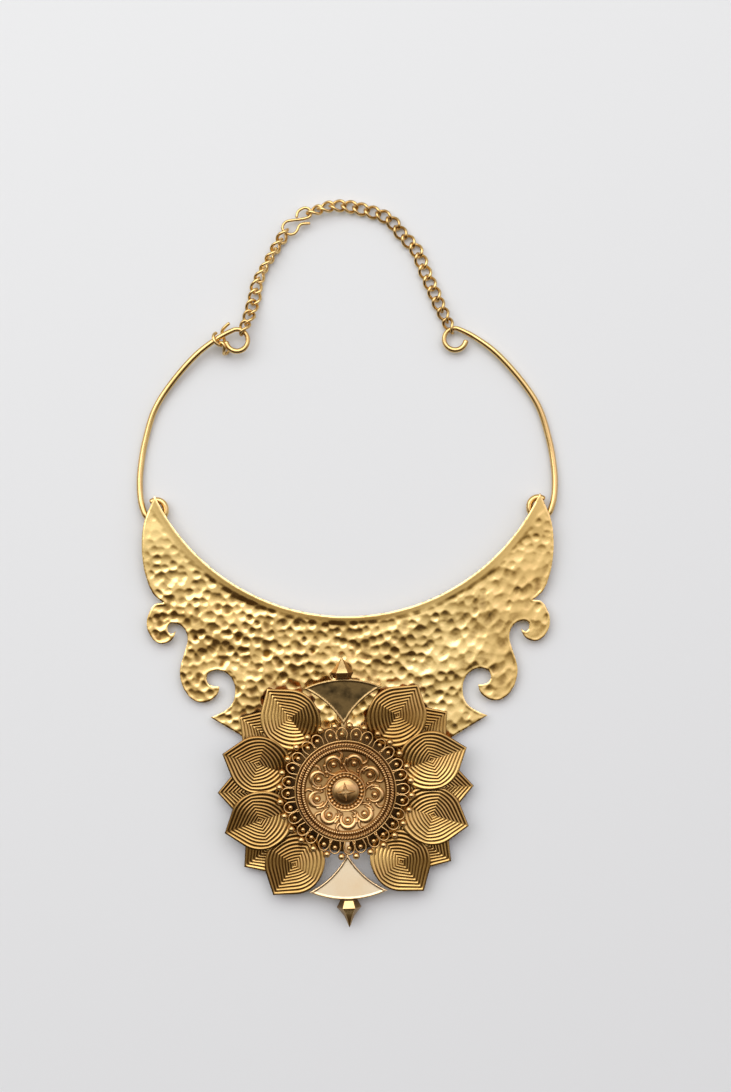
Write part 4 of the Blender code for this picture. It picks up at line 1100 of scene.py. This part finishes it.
# Columns: radius and height over the boss's foot in millimetres, from the middle to the rim.
boss_profile = [
    (0.0, 2.78), (1.5, 2.69), (3.0, 2.36), (4.2, 1.82), (5.0, 1.2), (5.2, 1.0), (6.5, 1.0), (6.7, 1.2),
    (6.95, 1.36), (7.15, 1.2), (7.2, 1.0),
]
boss_r, boss_z = np.array(boss_profile).T * mm
radii = np.concatenate([np.linspace(0.01 * mm, dome_radius, 60), np.linspace(5.1 * mm, boss_radius, 26)])
angle = once_round(boss_steps)
radius_grid, angle_grid = np.meshgrid(radii, angle, indexing="ij")
quarter = np.mod(angle_grid - cross_turn + math.pi / 4, math.pi / 2) - math.pi / 4
off_arm = radius_grid * np.abs(np.sin(quarter))
arm_width = (cross_half_width * (1 - radius_grid / cross_length)).clip(0.001 * mm, 1)
arm = np.clip(1 - off_arm / arm_width, 0, 1) * (radius_grid < 3.2 * mm)
arm_edge_shade = np.clip(1 - np.abs(off_arm - arm_width) / arm_edge_shade_width, 0, 1) * (radius_grid < 3.6 * mm)
knob = np.sqrt(ridge(radius_grid, knob_radius))
spin = 2 * math.pi / pearls
along_ring = (np.mod(angle_grid + spin / 2, spin) - spin / 2) * pearl_circle
pearl = np.sqrt(ridge(np.hypot(along_ring, radius_grid - pearl_circle), pearl_radius))
relief = cross_height * arm + knob_height * knob + pearl_height * pearl
z_grid = boss_foot + np.interp(radius_grid, boss_r, boss_z) + relief
z_grid = np.minimum(z_grid, boss_foot + cross_top)
# Painted light and shade: the cross, the knob and the pearls are painted brighter than the dome and the rim
# brightest, with painted shade along the cross's edges and between the pearls.
dome_shine = 0.4 - 0.3 * arm_edge_shade + relief / (0.5 * mm)
ring_shine = 0.05 + pearl + (radius_grid > 6.6 * mm)
shine = np.where(radius_grid < dome_radius, dome_shine, ring_shine)
face = np.stack([radius_grid * np.cos(angle_grid), radius_grid * np.sin(angle_grid), z_grid], -1)
wall = rings_at([(boss_radius, boss_foot), (0.01 * mm, boss_foot)], angle)
cast_round("centre_boss", face, shine, wall, 0.5)

# The table and the light: a wide sheet of pale paper under the necklace, and a broad soft light
# from its top. The camera looks straight down.
table_reach = 60
table_z = -0.2 * mm
paper_colour = (0.712, 0.741, 0.729, 1)
floor_mesh = bpy.data.meshes.new("table")
corners = [(x * table_reach, y * table_reach, 0) for x, y in ((-1, -1), (1, -1), (1, 1), (-1, 1))]
floor_mesh.from_pydata(corners, [], [(0, 1, 2, 3)])
floor_paint = bpy.data.materials.new("pale_paper")
floor_paint.use_nodes = True
paper = floor_paint.node_tree.nodes["Principled BSDF"]
paper.inputs["Base Color"].default_value = paper_colour
paper.inputs["Roughness"].default_value = 0.9
floor_mesh.materials.append(floor_paint)
floor = placed("table", floor_mesh)
floor.location.z = table_z

photo_scale = 0.366 * mm
photo_height = 1092
camera_height = 0.75
camera_middle = (6.5 * mm, 6.4 * mm)
camera_turn = -math.radians(0.45)
lens = bpy.data.cameras.new("camera")
lens.sensor_fit = "VERTICAL"
lens.angle = 2 * math.atan(photo_height * photo_scale / 2 / camera_height)
camera = placed("camera", lens)
camera.location = (*camera_middle, camera_height + 3 * mm)
camera.rotation_euler = (0, 0, camera_turn)
bpy.context.scene.camera = camera


def lamp(name, place, target, size, power):
    """A soft box of light that faces a point."""
    light = bpy.data.lights.new(name, "AREA")
    light.shape = "RECTANGLE"
    light.size, light.size_y = size
    light.energy = power
    holder = placed(name, light)
    holder.location = place
    away = Vector(place) - Vector(target)
    holder.rotation_euler = away.to_track_quat("Z", "Y").to_euler()


lamp("top_box", place=(-0.22, 0.62, 0.95), target=(0, 0, 0), size=(1.8, 1.0), power=10.0)

# The room that the brass mirrors: brown at the necklace's foot, pale overhead and brightest towards
# its top, over a dim wall all round.
sky = bpy.data.worlds.new("studio")
sky.use_nodes = True
bpy.context.scene.world = sky
sky_nodes = sky.node_tree.nodes
sky_links = sky.node_tree.links
direction = sky_nodes.new("ShaderNodeTexCoord")
lean = sky_nodes.new("ShaderNodeVectorMath")
lean.operation = "DOT_PRODUCT"
lean.inputs[1].default_value = (0.1, 1.0, 0.0)
sky_links.new(direction.outputs["Generated"], lean.inputs[0])
ramp = sky_nodes.new("ShaderNodeValToRGB")
ramp.color_ramp.interpolation = "EASE"
stops = [(0.27, (0.05, 0.028, 0.01)), (0.36, (0.37, 0.30, 0.18)), (0.43, (0.75, 0.71, 0.66))]
stops += [(0.5, (0.90, 0.88, 0.86)), (0.62, (1.38, 1.25, 1.5)), (0.85, (0.9, 0.9, 0.9))]
for position, colour in stops:
    ramp.color_ramp.elements.new(position).color = (*colour, 1)
ramp.color_ramp.elements.remove(ramp.color_ramp.elements[0])
ramp.color_ramp.elements.remove(ramp.color_ramp.elements[-1])
sky_links.new(stretched(sky.node_tree, lean.outputs["Value"], -1.0, 1.0), ramp.inputs["Fac"])
parts = sky_nodes.new("ShaderNodeSeparateXYZ")
sky_links.new(direction.outputs["Generated"], parts.inputs["Vector"])
low = stretched(sky.node_tree, parts.outputs["Z"], 0.34, 0.14)
wall = mixed(sky.node_tree, low, ramp.outputs["Color"], (0.45, 0.445, 0.43), "LIGHTEN")
sky_links.new(wall, sky_nodes["Background"].inputs["Color"])
horizon = stretched(sky.node_tree, parts.outputs["Z"], 0.05, 0.55, 0.3, 1.0, smooth=True)
sky_links.new(horizon, sky_nodes["Background"].inputs["Strength"])
bpy.context.scene.view_settings.view_transform = "Standard"
